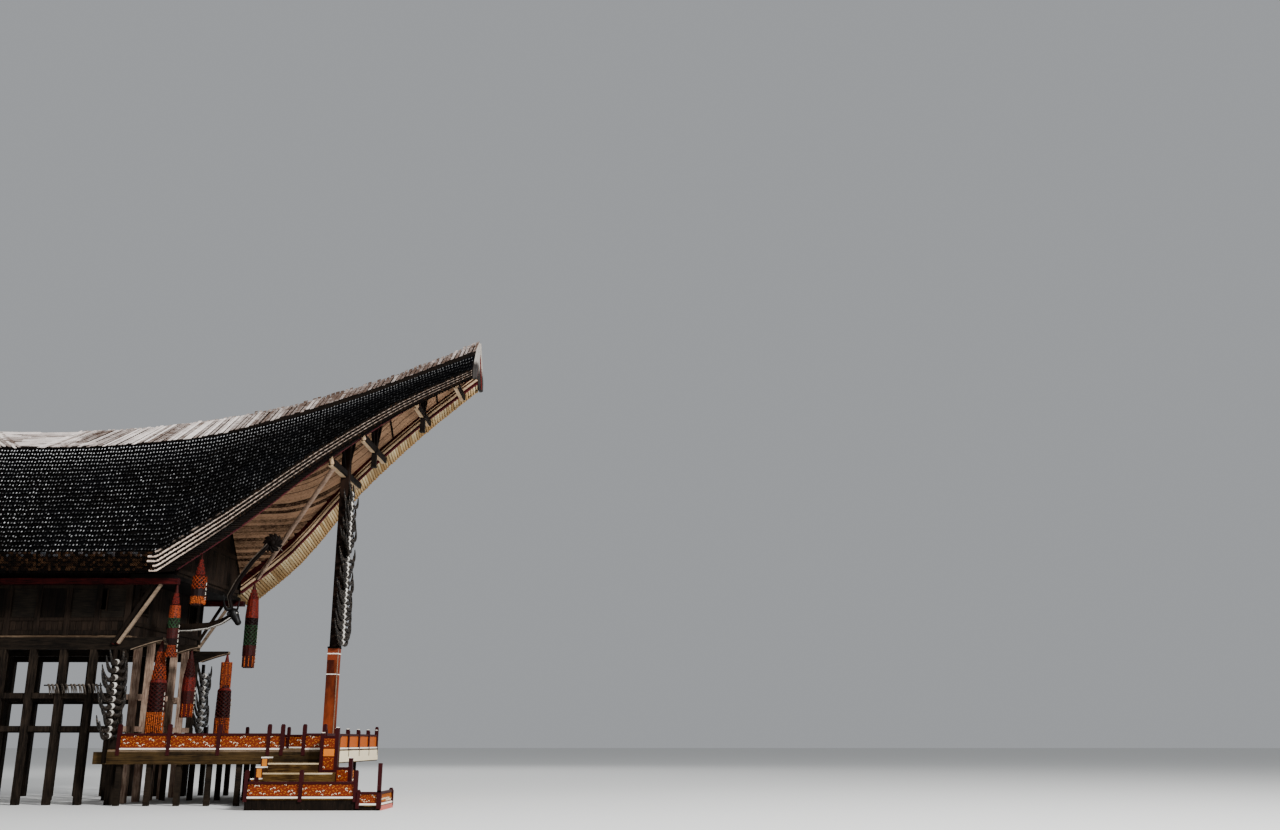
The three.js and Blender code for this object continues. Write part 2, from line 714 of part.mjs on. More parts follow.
// A low rail of panels between posts, along X, standing on a level.
function rail(from, to, y, bottom, height, postHeight, postPlaces) {
  const pieces = [
    block([from, to], [y - 15, y + 15], [bottom, bottom + height]),
    block([from, to], [y - 30, y + 30], [bottom, bottom + 40]),
    block([from, to], [y - 30, y + 30], [bottom + height - 50, bottom + height]),
  ];
  for (const x of postPlaces) {
    pieces.push(post(x, y, RAIL_POST, bottom, bottom + postHeight));
  }
  return join(pieces);
}

const RAIL_Y = TERRACE_HALF - RAIL_POST / 2;
const RAIL_START = 3715;
const RAIL_END = TERRACE_END - RAIL_POST / 2;
const STAIR_GAP = [7000, 7440];

function sideRailPosts(from, to) {
  const places = [];
  for (let x = RAIL_START; x < RAIL_END; x += RAIL_BAY) {
    places.push(x);
  }
  places.push(RAIL_END);
  return places.filter((x) => x >= from && x <= to);
}

function frontRail() {
  const half = RAIL_Y - RAIL_POST / 2;
  const places = [-1.5, -0.5, 0.5, 1.5].map((bay) => bay * RAIL_BAY);
  const along = rail(-half, half, 0, TERRACE_TOP, RAIL_HEIGHT, FRONT_RAIL_POST, places);
  return along.rotateZ(Math.PI / 2).translate(RAIL_END, 0, 0);
}

// Three closed steps with a stepped cheek on the left and a parapet in two heights on the right.
function stair() {
  const top = -TERRACE_HALF - SEAT;
  const pieces = [];
  for (const [i, height] of STEP_HEIGHTS.entries()) {
    const y = [top - STEP_DEPTH * (i + 1), top - STEP_DEPTH * i];
    const right = i === 0 ? STAIR_RIGHT : LOWER_STEPS_RIGHT;
    pieces.push(block([STAIR_LEFT, right], y, [0, height]));
    pieces.push(block([STAIR_LEFT - CHEEK, STAIR_LEFT], y, [0, height + CHEEK_ABOVE_STEP]));
  }
  return join([...pieces, ...parapet([top - STEP_DEPTH, top])]);
}

// Two boxes with posts at their ends, the higher one against the stair.
function parapet(y) {
  const pieces = PARAPET_BOXES.map((box) => block([box.from, box.to], y, [0, box.top]));
  for (const { x, top } of PARAPET_POSTS) {
    pieces.push(post(x, y[0] + RAIL_POST / 2, RAIL_POST, 0, top));
  }
  return pieces;
}

// The low landing before the stair, railed on two sides, and the entry step beside it.
function landing() {
  const backY = -TERRACE_HALF - STEP_HEIGHTS.length * STEP_DEPTH - 2 * SEAT;
  const frontY = backY - LANDING_DEPTH;
  const left = STAIR_LEFT - LANDING_REACH;
  const railY = frontY + RAIL_POST / 2;
  const railHeight = 300;
  const posts = [left + RAIL_POST / 2, (left + LANDING_END) / 2, LANDING_END - RAIL_POST / 2];
  const halfDepth = LANDING_DEPTH / 2;
  const leftRail = rail(-halfDepth, halfDepth, 0, LANDING_TOP - 5, railHeight, railHeight, []);
  leftRail.rotateZ(Math.PI / 2).translate(left + RAIL_POST / 2, frontY + LANDING_DEPTH / 2, 0);
  const entryHeight = 240;
  const entryBack = frontY + ENTRY_DEPTH;
  const sideX = ENTRY_END - RAIL_POST / 2;
  const entryPosts = [railY, entryBack - RAIL_POST / 2];
  const entrySide = rail(frontY, entryBack, 0, ENTRY_TOP - 5, entryHeight, ENTRY_POST, entryPosts);
  entrySide.rotateZ(Math.PI / 2).translate(sideX, 0, 0);
  return join([
    block([left, LANDING_END], [frontY, backY], [0, LANDING_TOP]),
    rail(left, LANDING_END, railY, LANDING_TOP - 5, railHeight, LANDING_POST, posts),
    leftRail,
    block([LANDING_END - 5, ENTRY_END], [frontY, entryBack], [0, ENTRY_TOP]),
    rail(LANDING_END - 5, ENTRY_END, railY, ENTRY_TOP - 5, entryHeight, ENTRY_POST, []),
    entrySide,
    post(sideX, railY, RAIL_POST, ENTRY_TOP - 5, ENTRY_TOP + ENTRY_TALL_POST),
  ]);
}

// A hanging ornament of stacked bead skirts on a stem.
function beadOrnament(x, y, bottom, top, radius, skirts, stem = 120) {
  const outline = [new THREE.Vector2(0, top), new THREE.Vector2(15, top)];
  const pitch = (top - stem - bottom) / skirts;
  for (let i = 0; i < skirts; i += 1) {
    const share = (i + 1) / skirts;
    const z = top - stem - i * pitch;
    const wide = radius * (0.45 + 0.55 * Math.sqrt(share));
    outline.push(new THREE.Vector2(wide * 0.7, z));
    outline.push(new THREE.Vector2(wide, z - pitch + 15));
  }
  outline.push(new THREE.Vector2(0, bottom));
  outline.reverse();
  return new THREE.LatheGeometry(outline, 10).rotateX(Math.PI / 2).translate(x, y, 0);
}

const house = new THREE.Group();
const turned = new THREE.Group();
turned.rotation.z = Math.PI;
house.add(turned);

function addMesh(group, name, geometry, material) {
  const mesh = new THREE.Mesh(geometry, material);
  mesh.name = name;
  group.add(mesh);
}

// Adds a piece at the front or near side, and again turned half round for the back or far side.
function addPair(names, geometry, makeMaterial) {
  addMesh(house, names[0], geometry, makeMaterial());
  addMesh(turned, names[1], geometry, makeMaterial());
}

addPair(['near_side_pillars', 'far_side_pillars'], sidePillars(), greyWood);
addPair(['front_pillars', 'back_pillars'], endPillars(), greyWood);
addMesh(house, 'middle_pillars', middlePillars(), greyWood());
addPair(['near_floor_beam', 'far_floor_beam'], floorBeam(-HALF_WIDTH), greyWood);
addMesh(house, 'middle_floor_beam', floorBeam(0), greyWood());

const deckX = HALF_BODY + 70;
const deckY = HALF_WIDTH + 70;
const deck = block([-deckX, deckX], [-deckY, deckY], [FLOOR_BEAM_TOP, FLOOR_TOP]);
addMesh(house, 'floor_deck', deck, greyWood());
addPair(['near_upper_wall', 'far_upper_wall'], sideWall(), darkWood);
addPair(['front_upper_wall', 'back_upper_wall'], endWall(), darkWood);
addPair(['near_eave_beam', 'far_eave_beam'], eaveBeam(), redPaint);
addPair(['front_gable', 'back_gable'], gable(), darkWood);

addPair(['near_roof_slope', 'far_roof_slope'], nearSlope, bambooTiles);
addMesh(house, 'ridge_cover', ridgeCover(), paleStrips());
addPair(['front_end_board', 'back_end_board'], endBoard(), darkWood);
addPair(['front_prow_frame', 'back_prow_frame'], prowFrame(), redPaint);
addPair(['front_prow_post', 'back_prow_post'], prowPost(), redPaint);

const stackX = POST_X + POST_UPPER / 2 + SEAT;
const POST_STACK = { foot: 3300, bottom: 3300, top: 7050, half: 500, horns: 20 };
const CORNER_STACK = {
  foot: TERRACE_TOP - TERRACE_BOARD - FASCIA + 20, bottom: 1250, top: 3060, half: 440, horns: 12,
};
addMesh(house, 'front_horn_stack', hornStack(stackX, 0, POST_STACK), hornGrey());

const cornerX = HALF_BODY + 10;
const cornerY = TERRACE_HALF + 60 + SEAT;
addMesh(house, 'near_corner_horns', hornStack(cornerX, -cornerY, CORNER_STACK), hornGrey());
addMesh(house, 'far_corner_horns', hornStack(cornerX, cornerY, CORNER_STACK), hornGrey());
addMesh(house, 'buffalo_head', buffaloHead(), darkWood());
addMesh(house, 'long_necked_bird', longNeckedBird(), darkWood());

addMesh(house, 'terrace_deck', terraceDeck(), greyWood());
addMesh(house, 'terrace_frame', terraceFrame(), greyWood());
addMesh(house, 'near_rail_long', rail(
  RAIL_START, STAIR_GAP[0], -RAIL_Y, TERRACE_TOP, RAIL_HEIGHT, SIDE_RAIL_POST,
  [...sideRailPosts(0, STAIR_GAP[0]), STAIR_GAP[0]],
), orangePaint());
addMesh(house, 'near_rail_short', rail(
  STAIR_GAP[1], RAIL_END, -RAIL_Y, TERRACE_TOP, RAIL_HEIGHT, SIDE_RAIL_POST, [STAIR_GAP[1], RAIL_END],
), orangePaint());
addMesh(house, 'far_rail', rail(
  RAIL_START, RAIL_END, RAIL_Y, TERRACE_TOP, RAIL_HEIGHT, SIDE_RAIL_POST, sideRailPosts(0, RAIL_END),
), orangePaint());
addMesh(house, 'front_rail', frontRail(), orangePaint());
addMesh(house, 'terrace_stair', stair(), orangePaint());
addMesh(house, 'stair_landing', landing(), orangePaint());

const EAVE_HANG = { x: EAVE_BEAM_END - 20, y: -WALL_OUTSIDE - 75, bottom: 2930, radius: 140 };
const eaveHanging = beadOrnament(
  EAVE_HANG.x, EAVE_HANG.y, EAVE_HANG.bottom, EAVE_BEAM_BOTTOM - SEAT, EAVE_HANG.radius, 6, 25,
);
addMesh(house, 'near_eave_hanging', eaveHanging, redBeads());

// A hanging under a barge board, in the middle of the board's thickness.
function vergeHanging(side, { x, bottom, radius, skirts }) {
  const y = roofSection(vergeAt(x)).inner - BARGE_THICKNESS / 2;
  const top = vergeAt(x - 15).low + BARGE_LIFT - SEAT;
  return beadOrnament(x, side * y, bottom, top, radius, skirts);
}

const NEAR_VERGE_HANG = { x: 4870, bottom: 4020, radius: 170, skirts: 4 };
const FAR_VERGE_HANG = { x: 4730, bottom: 2950, radius: 160, skirts: 7 };
addMesh(house, 'near_verge_hanging', vergeHanging(-1, NEAR_VERGE_HANG), redBeads());
addMesh(house, 'far_verge_hanging', vergeHanging(1, FAR_VERGE_HANG), redBeads());

// A hanging under the tip of the floor beam in the row at y.
function beamHanging(y, { x, bottom, radius, skirts }) {
  const stem = 300;
  const ornament = beadOrnament(x, y, bottom, FLOOR_BEAM_TOP - 50, radius, skirts, stem);
  return cut(ornament, [floorBeam(y).translate(0, 0, -SEAT)]);
}

const OUTER_BEAM_HANG = { x: FLOOR_BEAM_TIP - 30, bottom: 1360, radius: 180, skirts: 6 };
const MIDDLE_BEAM_HANG = { x: FLOOR_BEAM_TIP - 150, bottom: 1750, radius: 150, skirts: 5 };
addMesh(house, 'near_beam_hanging', beamHanging(-HALF_WIDTH, OUTER_BEAM_HANG), redBeads());
addMesh(house, 'middle_beam_hanging', beamHanging(0, MIDDLE_BEAM_HANG), redBeads());
addMesh(house, 'far_beam_hanging', beamHanging(HALF_WIDTH, OUTER_BEAM_HANG), redBeads());

export default house;
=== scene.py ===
# The looks of the tongkonan: tiles, strips, tubes, boards, horns, beadwork and carved panels on its solids.
# Metres, +Z up. The ridge runs along X, the front with its terrace is at +X, and the near side is -Y.
import math
import random

import bpy
from mathutils import Matrix, Vector


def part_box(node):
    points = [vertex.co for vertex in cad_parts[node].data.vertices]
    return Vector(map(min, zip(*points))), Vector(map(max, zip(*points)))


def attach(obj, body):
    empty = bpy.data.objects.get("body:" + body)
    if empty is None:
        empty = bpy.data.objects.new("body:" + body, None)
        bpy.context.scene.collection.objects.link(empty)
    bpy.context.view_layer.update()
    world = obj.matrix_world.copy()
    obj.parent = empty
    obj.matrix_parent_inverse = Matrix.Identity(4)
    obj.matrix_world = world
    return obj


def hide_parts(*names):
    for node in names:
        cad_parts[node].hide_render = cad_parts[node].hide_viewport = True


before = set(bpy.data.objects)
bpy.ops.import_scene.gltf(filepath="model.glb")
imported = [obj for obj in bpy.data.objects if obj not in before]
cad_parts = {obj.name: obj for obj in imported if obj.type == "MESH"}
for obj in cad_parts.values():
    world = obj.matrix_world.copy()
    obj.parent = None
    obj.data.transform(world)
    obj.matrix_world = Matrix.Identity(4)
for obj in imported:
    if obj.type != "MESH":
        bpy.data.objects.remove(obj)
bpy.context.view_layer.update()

# The roof's sizes, as in the part's source
HALF_ROOF = 10.34
END_BOARD = 0.06
HALF_EAVE = 4.35
RIDGE_LOW = 8.27
RIDGE_RISE = 2.25
RIDGE_SWEEP = 2.23
COVER_THICKNESS = 0.1
COVER_LOWER_EDGE = 0.055
COVER_WIDTH_MIDDLE = 0.37
COVER_WIDTH_TIP = 0.23
TIERS = 4
TIER_STEP = 0.025
TIER_FACE_CORNER = 0.37
TIER_FACE_TIP = 0.18
TIER_UNDERSIDE_RISE = 0.16
SOFFIT_DROP_CORNER = 0.3
SOFFIT_DROP_TIP = 0.15
BARGE_INSET = 0.7
BARGE_LIFT = 0.12
POLE_START_Y = -1.0
POLE_END_X = 4.8
POLE_END_LIFT = 0.17
GABLE_X = 4.34

# The body's sizes, as in the part's source
HALF_BODY = 3.45
HALF_WIDTH = 2.05
WALL_OUTSIDE = 2.09
SIDE_PILLARS = 12
FLOOR_TOP = 3.38
EAVE_BEAM_BOTTOM = 4.44
SILL_TOP = 4.65
POST_X = 7.31
POST_SHOULDER = 3.05
TIE_BEAMS = [7.95, 9.05, 9.9]
KING_POSTS = [7.95, 9.05]
TIE_BEAM_WIDTH = 0.1
TIE_BEAM_HEIGHT = 0.125
CROSSHEAD_WIDTH = 0.14
KING_POST_DROP = 0.33
FLOOR_BEAM_TIP = 4.25
FLOOR_BEAM_BOTTOM = 3.09
FLOOR_BEAM_TOP = 3.34
STRUTS = [(4.13, 3.33), (3.96, 3.23)]
TERRACE_TOP = 1.08
RAIL_HEIGHT = 0.32
LANDING_TOP = 0.22
LANDING_END = 8.92
ENTRY_TOP = 0.1
ENTRY_END = 9.36
ENTRY_DEPTH = 1.2

# The sizes of what lies on the solids
TILE_PITCH = 0.16
TILE_WIDTH = 0.072
TILE_LENGTH = 0.17
TILE_LIP = 0.06
STRIP_WIDTH = 0.115
UNDERSIDE_TUBE = 0.07
TUBE_BORE = 0.6
TIER_OVERHANG = 0.03

# The step in X over which a slope is measured
NUDGE = 0.01

# The openings in the long walls and the end walls, as in the part's source
SLOT_WINDOWS = [(-2.98, -2.8), (2.8, 2.98)]
END_WINDOWS = [(-1.65, -1.2), (1.2, 1.65)]
END_WINDOW_SILL = 3.9
END_WINDOW_TOP = 4.35


def linear(code):
    """A colour from its hexadecimal code, as the shader wants it."""
    values = [int(code[i:i + 2], 16) / 255 for i in (0, 2, 4)]
    return tuple(v / 12.92 if v <= 0.04045 else ((v + 0.055) / 1.055) ** 2.4 for v in values) + (1.0,)


def mix(a, b, share):
    return a + (b - a) * share


def at(x, y, z):
    return Vector((x, y, z))


def limited(value):
    return max(0.0, min(1.0, value))


def circle(count):
    """The cosine and sine of each of the turns that divide a circle evenly."""
    turns = [2 * math.pi * k / count for k in range(count)]
    return [(math.cos(turn), math.sin(turn)) for turn in turns]


def around(middle, half):
    """Both ends of a span about its middle."""
    return middle - half, middle + half


# How the noise of wood is drawn out along each axis, and how fine it is
GRAIN = {"X": (0.06, 1, 1), "Y": (1, 0.06, 1), "Z": (1, 1, 0.06)}
GRAIN_SCALE = 55


class Look:
    """A material that is being made: one Principled shader and the nodes before it."""

    def __init__(self, name, roughness, specular=None):
        self.material = bpy.data.materials.new(name)
        self.material.use_nodes = True
        self.tree = self.material.node_tree
        self.shader = self.tree.nodes["Principled BSDF"]
        self.shader.inputs["Roughness"].default_value = roughness
        if specular is not None:
            self.shader.inputs["Specular IOR Level"].default_value = specular
        self.place = self.add("TexCoord").outputs["Object"]

    def add(self, kind, settings=None, inputs=None):
        node = self.tree.nodes.new("ShaderNode" + kind)
        for key, value in (settings or {}).items():
            setattr(node, key, value)
        for key, value in (inputs or {}).items():
            if isinstance(value, bpy.types.NodeSocket):
                self.tree.links.new(value, node.inputs[key])
            else:
                node.inputs[key].default_value = value
        return node

    def maths(self, operation, a, b=0.0, clamp=False):
        settings = {"operation": operation, "use_clamp": clamp}
        return self.add("Math", settings, {0: a, 1: b}).outputs[0]

    def noise(self, scale, stretch=(1, 1, 1), detail=4.0):
        placed = self.add("Mapping", None, {"Vector": self.place, "Scale": stretch}).outputs[0]
        inputs = {"Vector": placed, "Scale": scale, "Detail": detail, "Roughness": 0.6}
        return self.add("TexNoise", None, inputs).outputs["Fac"]

    def grain(self, axis):
        """Fine noise drawn out along one axis."""
        return self.noise(GRAIN_SCALE, GRAIN[axis])

    def weighted(self, a, share_a, b, share_b):
        return self.maths("ADD", self.maths("MULTIPLY", a, share_a), self.maths("MULTIPLY", b, share_b))

    def blend(self, share, a, b):
        node = self.add("Mix", {"data_type": "RGBA"}, {0: share, 6: a, 7: b})
        return node.outputs[2]

    def ramp(self, value, low, high):
        inputs = {"Value": value, "From Min": low, "From Max": high}
        return self.add("MapRange", None, inputs).outputs[0]

    def attribute(self, name):
        return self.add("Attribute", {"attribute_name": name}).outputs

    def tint(self):
        return self.add("SeparateColor", None, {0: self.attribute("tint")["Color"]}).outputs

    def along(self, axis):
        return self.add("SeparateXYZ", None, {0: self.place}).outputs["XYZ".index(axis)]

    def finish(self, colour, height=None, strength=0.3, depth=0.01):
        self.tree.links.new(colour, self.shader.inputs["Base Color"])
        if height is not None:
            inputs = {"Height": height, "Strength": strength, "Distance": depth}
            bump = self.add("Bump", None, inputs).outputs[0]
            self.tree.links.new(bump, self.shader.inputs["Normal"])
        return self.material


def timber(name, dark, light, grain="Z", planks=None, roughness=0.8, variety=0.5):
    """Weathered wood. Planks is the axis across the boards and their width."""
    look = Look(name, roughness, 0.06)
    fine = look.grain(grain)
    broad = look.noise(2.3)
    share = look.ramp(look.weighted(fine, 0.6, broad, 0.4), 0.34, 0.68)
    height = fine
    piece_shade = look.maths("SUBTRACT", look.attribute("shade")["Fac"], 0.5)
    share = look.maths("ADD", share, look.maths("MULTIPLY", piece_shade, variety), True)
    if planks:
        axis, width = planks
        count = look.maths("DIVIDE", look.along(axis), width)
        board = look.add("TexWhiteNoise", {"noise_dimensions": "1D"}, {"W": look.maths("FLOOR", count)})
        shade = look.maths("SUBTRACT", board.outputs["Value"], 0.5)
        share = look.maths("ADD", share, look.maths("MULTIPLY", shade, 0.5), True)
        to_edge = look.maths("PINGPONG", count, 0.5)
        seam = look.ramp(to_edge, 0.0, 0.05)
        height = look.maths("ADD", look.maths("MULTIPLY", fine, 0.4), seam)
        colour = look.blend(share, linear(dark), linear(light))
        colour = look.blend(seam, linear("0a0806"), colour)
    else:
        colour = look.blend(share, linear(dark), linear(light))
    return look.finish(colour, height, 0.35, 0.012)


def painted(name, colour, worn, roughness=0.55, wear=0.62):
    """Paint on wood, worn through in places."""
    look = Look(name, roughness, 0.12)
    patches = look.noise(9, detail=6.0)
    grain = look.noise(60, (0.2, 0.2, 1))
    worn_share = look.ramp(look.weighted(patches, 0.7, grain, 0.3), wear, wear + 0.12)
    tone = look.blend(look.noise(1.7), linear(colour), linear(worn))
    tone = look.blend(0.35, linear(colour), tone)
    shade = look.blend(worn_share, tone, linear(worn))
    return look.finish(shade, grain, 0.2, 0.004)


def tile_look():
    """Near-black bamboo whose rounded lips carry a painted highlight: a pale glint put into the colour."""
    look = Look("weathered_bamboo_tiles_with_painted_glints", 0.8, 0.02)
    tint = look.tint()
    speckle = look.noise(30, detail=5.0)
    # The lip mask and the glint value place a painted highlight, pale up to white, on the middle of each
    # tile's lip
    lip = look.ramp(tint["Green"], 0.62, 0.8)
    lit = look.maths("MULTIPLY", lip, tint["Red"])
    glint = look.maths("MULTIPLY", lit, look.ramp(speckle, 0.25, 0.45), True)
    base = look.blend(tint["Blue"], linear("010101"), linear("080707"))
    base = look.blend(look.ramp(look.noise(0.9), 0.4, 0.7), base, linear("060608"))
    colour = look.blend(glint, base, linear("ffffff"))
    return look.finish(colour, speckle, 0.4, 0.008)


def cane_look():
    """Canes whose colour runs from near-black brown to pale pink along their length; the near-black end also
    serves as painted shade between the pale canes.
    """
    look = Look("verge_canes", 0.6, 0.03)
    fine = look.noise(60, (0.1, 1, 1))
    share = look.maths("SUBTRACT", look.attribute("shade")["Fac"], look.maths("MULTIPLY", fine, 0.25), True)
    colour = look.blend(share, linear("0a0705"), linear("fbe0cc"))
    return look.finish(colour, fine, 0.3, 0.006)


def tube_look(name, dark, light):
    """Bamboo tubes whose cut ends are pale rims round hollows painted near-black as shade."""
    look = Look(name, 0.65, 0.03)
    tint = look.tint()
    fine = look.noise(40, (1, 0.1, 1))
    base = look.blend(tint["Red"], linear(dark), linear(light))
    base = look.blend(look.maths("MULTIPLY", fine, 0.5), base, linear(dark))
    # The floor of the bore is painted near-black: painted shade inside the hollow tube
    colour = look.blend(tint["Green"], base, linear("040303"))
    # Where the tint's blue is set, the rim is painted pale bluish white: a painted highlight
    colour = look.blend(tint["Blue"], colour, linear("b4bac4"))
    return look.finish(colour, fine, 0.3, 0.006)


def bead_look():
    """Strung beads and cloth in bands from maroon through orange to gold, with white and green ones."""
    look = Look("bead_work", 0.6, 0.15)
    tint = look.tint()
    beads = look.add("TexVoronoi", None, {"Vector": look.place, "Scale": 60.0}).outputs["Distance"]
    warm = look.blend(look.ramp(tint["Red"], 0.0, 0.5), linear("0e0504"), linear("801c0e"))
    warm = look.blend(look.ramp(tint["Red"], 0.5, 1.0), warm, linear("d0601a"))
    warm = look.blend(tint["Green"], warm, linear("f2ead8"))
    warm = look.blend(tint["Blue"], warm, linear("1e4a2a"))
    speck = look.ramp(look.noise(38), 0.45, 0.62)
    warm = look.blend(look.maths("MULTIPLY", speck, 0.55), warm, linear("1c0604"))
    colour = look.blend(look.ramp(beads, 0.25, 0.8), warm, linear("180504"))
    return look.finish(colour, beads, 0.6, 0.008)


def horn_look(name, root, tip, ridge):
    """Ridged horn, darker at the tip, with pale rings that are partly worn ridges and partly a painted
    highlight.
    """
    look = Look(name, 0.5, 0.2)
    rings = look.noise(45, detail=3.0)
    shade = look.attribute("shade")["Fac"]
    colour = look.blend(shade, linear(root), linear(tip))
    # The pale ridge colour doubles as a painted highlight along the horn
    colour = look.blend(look.maths("MULTIPLY", look.ramp(rings, 0.55, 0.8), 0.6), colour, linear(ridge))
    return look.finish(colour, rings, 0.35, 0.006)


def terrace_look():
    """The terrace's edge boards, brown where lit, on legs of the same timber painted dark as the shade under
    the deck.
    """
    look = Look("terrace_timbers", 0.8, 0.06)
    fine = look.grain("X")
    share = look.ramp(look.maths("ADD", fine, look.noise(2.3)), 0.7, 1.3)
    board = look.blend(share, linear("120c07"), linear("4a381f"))
    shaded_legs = look.blend(share, linear("0c0907"), linear("2c231a"))
    seam = look.ramp(look.maths("PINGPONG", look.maths("DIVIDE", look.along("Z"), 0.125), 0.5), 0.0, 0.06)
    board = look.blend(seam, linear("0c0806"), board)
    # Below the boards the colour switches to the darker copy: painted shade on the legs
    colour = look.blend(look.ramp(look.along("Z"), 0.795, 0.8), shaded_legs, board)
    return look.finish(colour, fine, 0.35, 0.012)


def end_board_look():
    """Bleached grey boards that are smoked dark in their lower half."""
    look = Look("grey_end_boards", 0.7)
    fine = look.grain("Z")
    pale = look.blend(fine, linear("6a625a"), linear("c2bab0"))
    dark = look.blend(fine, linear("120e0b"), linear("2e2620"))
    height = look.maths("ADD", look.along("Z"), look.maths("MULTIPLY", look.noise(6), 0.3))
    colour = look.blend(look.ramp(height, 9.95, 10.1), dark, pale)
    return look.finish(colour, fine, 0.35, 0.01)


def post_look():
    """The prow's post: painted red-brown below its shoulder and smoked dark above it."""
    look = Look("prow_post", 0.7, 0.06)
    fine = look.grain("Z")
    worn = look.ramp(look.noise(4, (1, 1, 0.3)), 0.35, 0.7)
    low = look.blend(worn, linear("34120a"), linear("8a3c1c"))
    high = look.blend(worn, linear("0a0605"), linear("241710"))
    above = look.ramp(look.along("Z"), POST_SHOULDER - 0.02, POST_SHOULDER + 0.02)
    colour = look.blend(above, low, high)
    return look.finish(colour, fine, 0.35, 0.01)


class Pile:
    """The points and faces of one piece, gathered part by part."""

    def __init__(self):
        self.points = []
        self.faces = []
        self.slots = []
        self.shades = []
        self.tints = []

    def add(self, points, faces, slot=0, shade=0.5, tints=None):
        base = len(self.points)
        self.points.extend(tuple(p) for p in points)
        self.faces.extend([base + i for i in face] for face in faces)
        self.slots.extend([slot] * len(faces))
        self.shades.extend(shade if isinstance(shade, list) else [shade] * len(points))
        self.tints.extend(tints or [(0.5, 0.0, 0.0)] * len(points))

    def box(self, x, y, z, slot=0, shade=0.5):
        corners = [(a, b, c) for a in x for b in y for c in z]
        faces = [(0, 1, 3, 2), (4, 6, 7, 5), (0, 4, 5, 1), (2, 3, 7, 6), (0, 2, 6, 4), (1, 5, 7, 3)]
        self.add(corners, faces, slot, shade)

    def loft(self, rings, slot=0, shade=0.5, tints=None, caps=True):
        """Closed rings of points, joined one to the next."""
        count = len(rings[0])
        faces = []
        for r in range(len(rings) - 1):
            for k in range(count):
                here = r * count + k
                following = r * count + (k + 1) % count
                faces.append((here, following, following + count, here + count))
        if caps:
            last = (len(rings) - 1) * count
            faces.append(tuple(reversed(range(count))))
            faces.append(tuple(last + k for k in range(count)))
        self.add([p for ring in rings for p in ring], faces, slot, shade, tints)

    def bar(self, start, end, width, height, slot=0, shade=0.5):
        """A straight bar with a rectangular section."""
        along = (end - start).normalized()
        sideways = at(0, 0, 1).cross(along)
        if sideways.length < 0.01:
            sideways = at(0, 1, 0)
        sideways.normalize()
        upwards = along.cross(sideways)
        corners = [(-1, -1), (1, -1), (1, 1), (-1, 1)]
        rings = [
            [centre + sideways * (a * width / 2) + upwards * (b * height / 2) for a, b in corners]
            for centre in (start, end)
        ]
        self.loft(rings, slot, shade)

    def tube(self, path, radii, sides=8, slot=0, shade=0.5):
        """A round tube through the points, with a radius at each."""
        rings = []
        shades = []
        sideways = None
        for i, point in enumerate(path):
            before = path[max(i - 1, 0)]
            after = path[min(i + 1, len(path) - 1)]
            along = (after - before).normalized()
            if sideways is None:
                sideways = along.orthogonal()
            sideways = (sideways - along * sideways.dot(along)).normalized()
            upwards = along.cross(sideways)
            rings.append([point + (sideways * a + upwards * b) * radii[i] for a, b in circle(sides)])
            shades.extend([shade[i] if isinstance(shade, list) else shade] * sides)
        self.loft(rings, slot, shades)

    def finish(self, name, materials, record_slot, replaces=(), bevel=0.0, smooth=False):
        """Makes the piece, with its normals facing out."""
        mesh = bpy.data.meshes.new(name)
        mesh.from_pydata(self.points, [], self.faces)
        mesh.polygons.foreach_set("material_index", self.slots)
        mesh.polygons.foreach_set("use_smooth", [smooth] * len(self.faces))
        shade = mesh.attributes.new("shade", "FLOAT", "POINT")
        shade.data.foreach_set("value", self.shades)
        tint = mesh.attributes.new("tint", "FLOAT_COLOR", "POINT")
        tint.data.foreach_set("color", [v for t in self.tints for v in (*t, 1.0)])
        for material in materials:
            mesh.materials.append(material)
        mesh.update()
        piece = bpy.data.objects.new(name, mesh)
        bpy.context.scene.collection.objects.link(piece)
        if bevel:
            soften = piece.modifiers.new("soften", "BEVEL")
            soften.width = bevel
            soften.segments = 1
            soften.limit_method = "ANGLE"
        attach(piece, "root")
        if replaces:
            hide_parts(*replaces)
        return piece


def roof_stations():
    """X, half width and height of the lower edge at each section of the near slope's solid."""
    sections = {}
    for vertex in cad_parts["near_roof_slope"].data.vertices:
        sections.setdefault(round(vertex.co.x, 3), []).append(vertex.co)
    stations = []
    for x in sorted(sections):
        low = min(p.z for p in sections[x])
        half = min(abs(p.y) for p in sections[x] if p.z < low + 0.001)
        stations.append((x, half, low))
    return stations


STATIONS = roof_stations()


def verge_at(x):
    x = max(STATIONS[0][0], min(STATIONS[-1][0], x))
    for a, b in zip(STATIONS, STATIONS[1:]):
        if x <= b[0]:
            share = (x - a[0]) / (b[0] - a[0])
            return mix(a[1], b[1], share), mix(a[2], b[2], share)
    return STATIONS[-1][1:]


def ridge_top(x):
    return RIDGE_LOW + RIDGE_RISE * (abs(x) / HALF_ROOF) ** RIDGE_SWEEP


def ridge_climb(x):
    """How steeply the ridge climbs at one X."""
    return (ridge_top(x + NUDGE) - ridge_top(x)) / NUDGE


def edge_climb(x, end):
    """How steeply the lower edge of the tiers climbs at one X."""
    return (Section(min(x + NUDGE, end)).low - Section(x).low) / NUDGE


def cover_width(x):
    return mix(COVER_WIDTH_MIDDLE, COVER_WIDTH_TIP, (abs(x) / HALF_ROOF) ** 2)


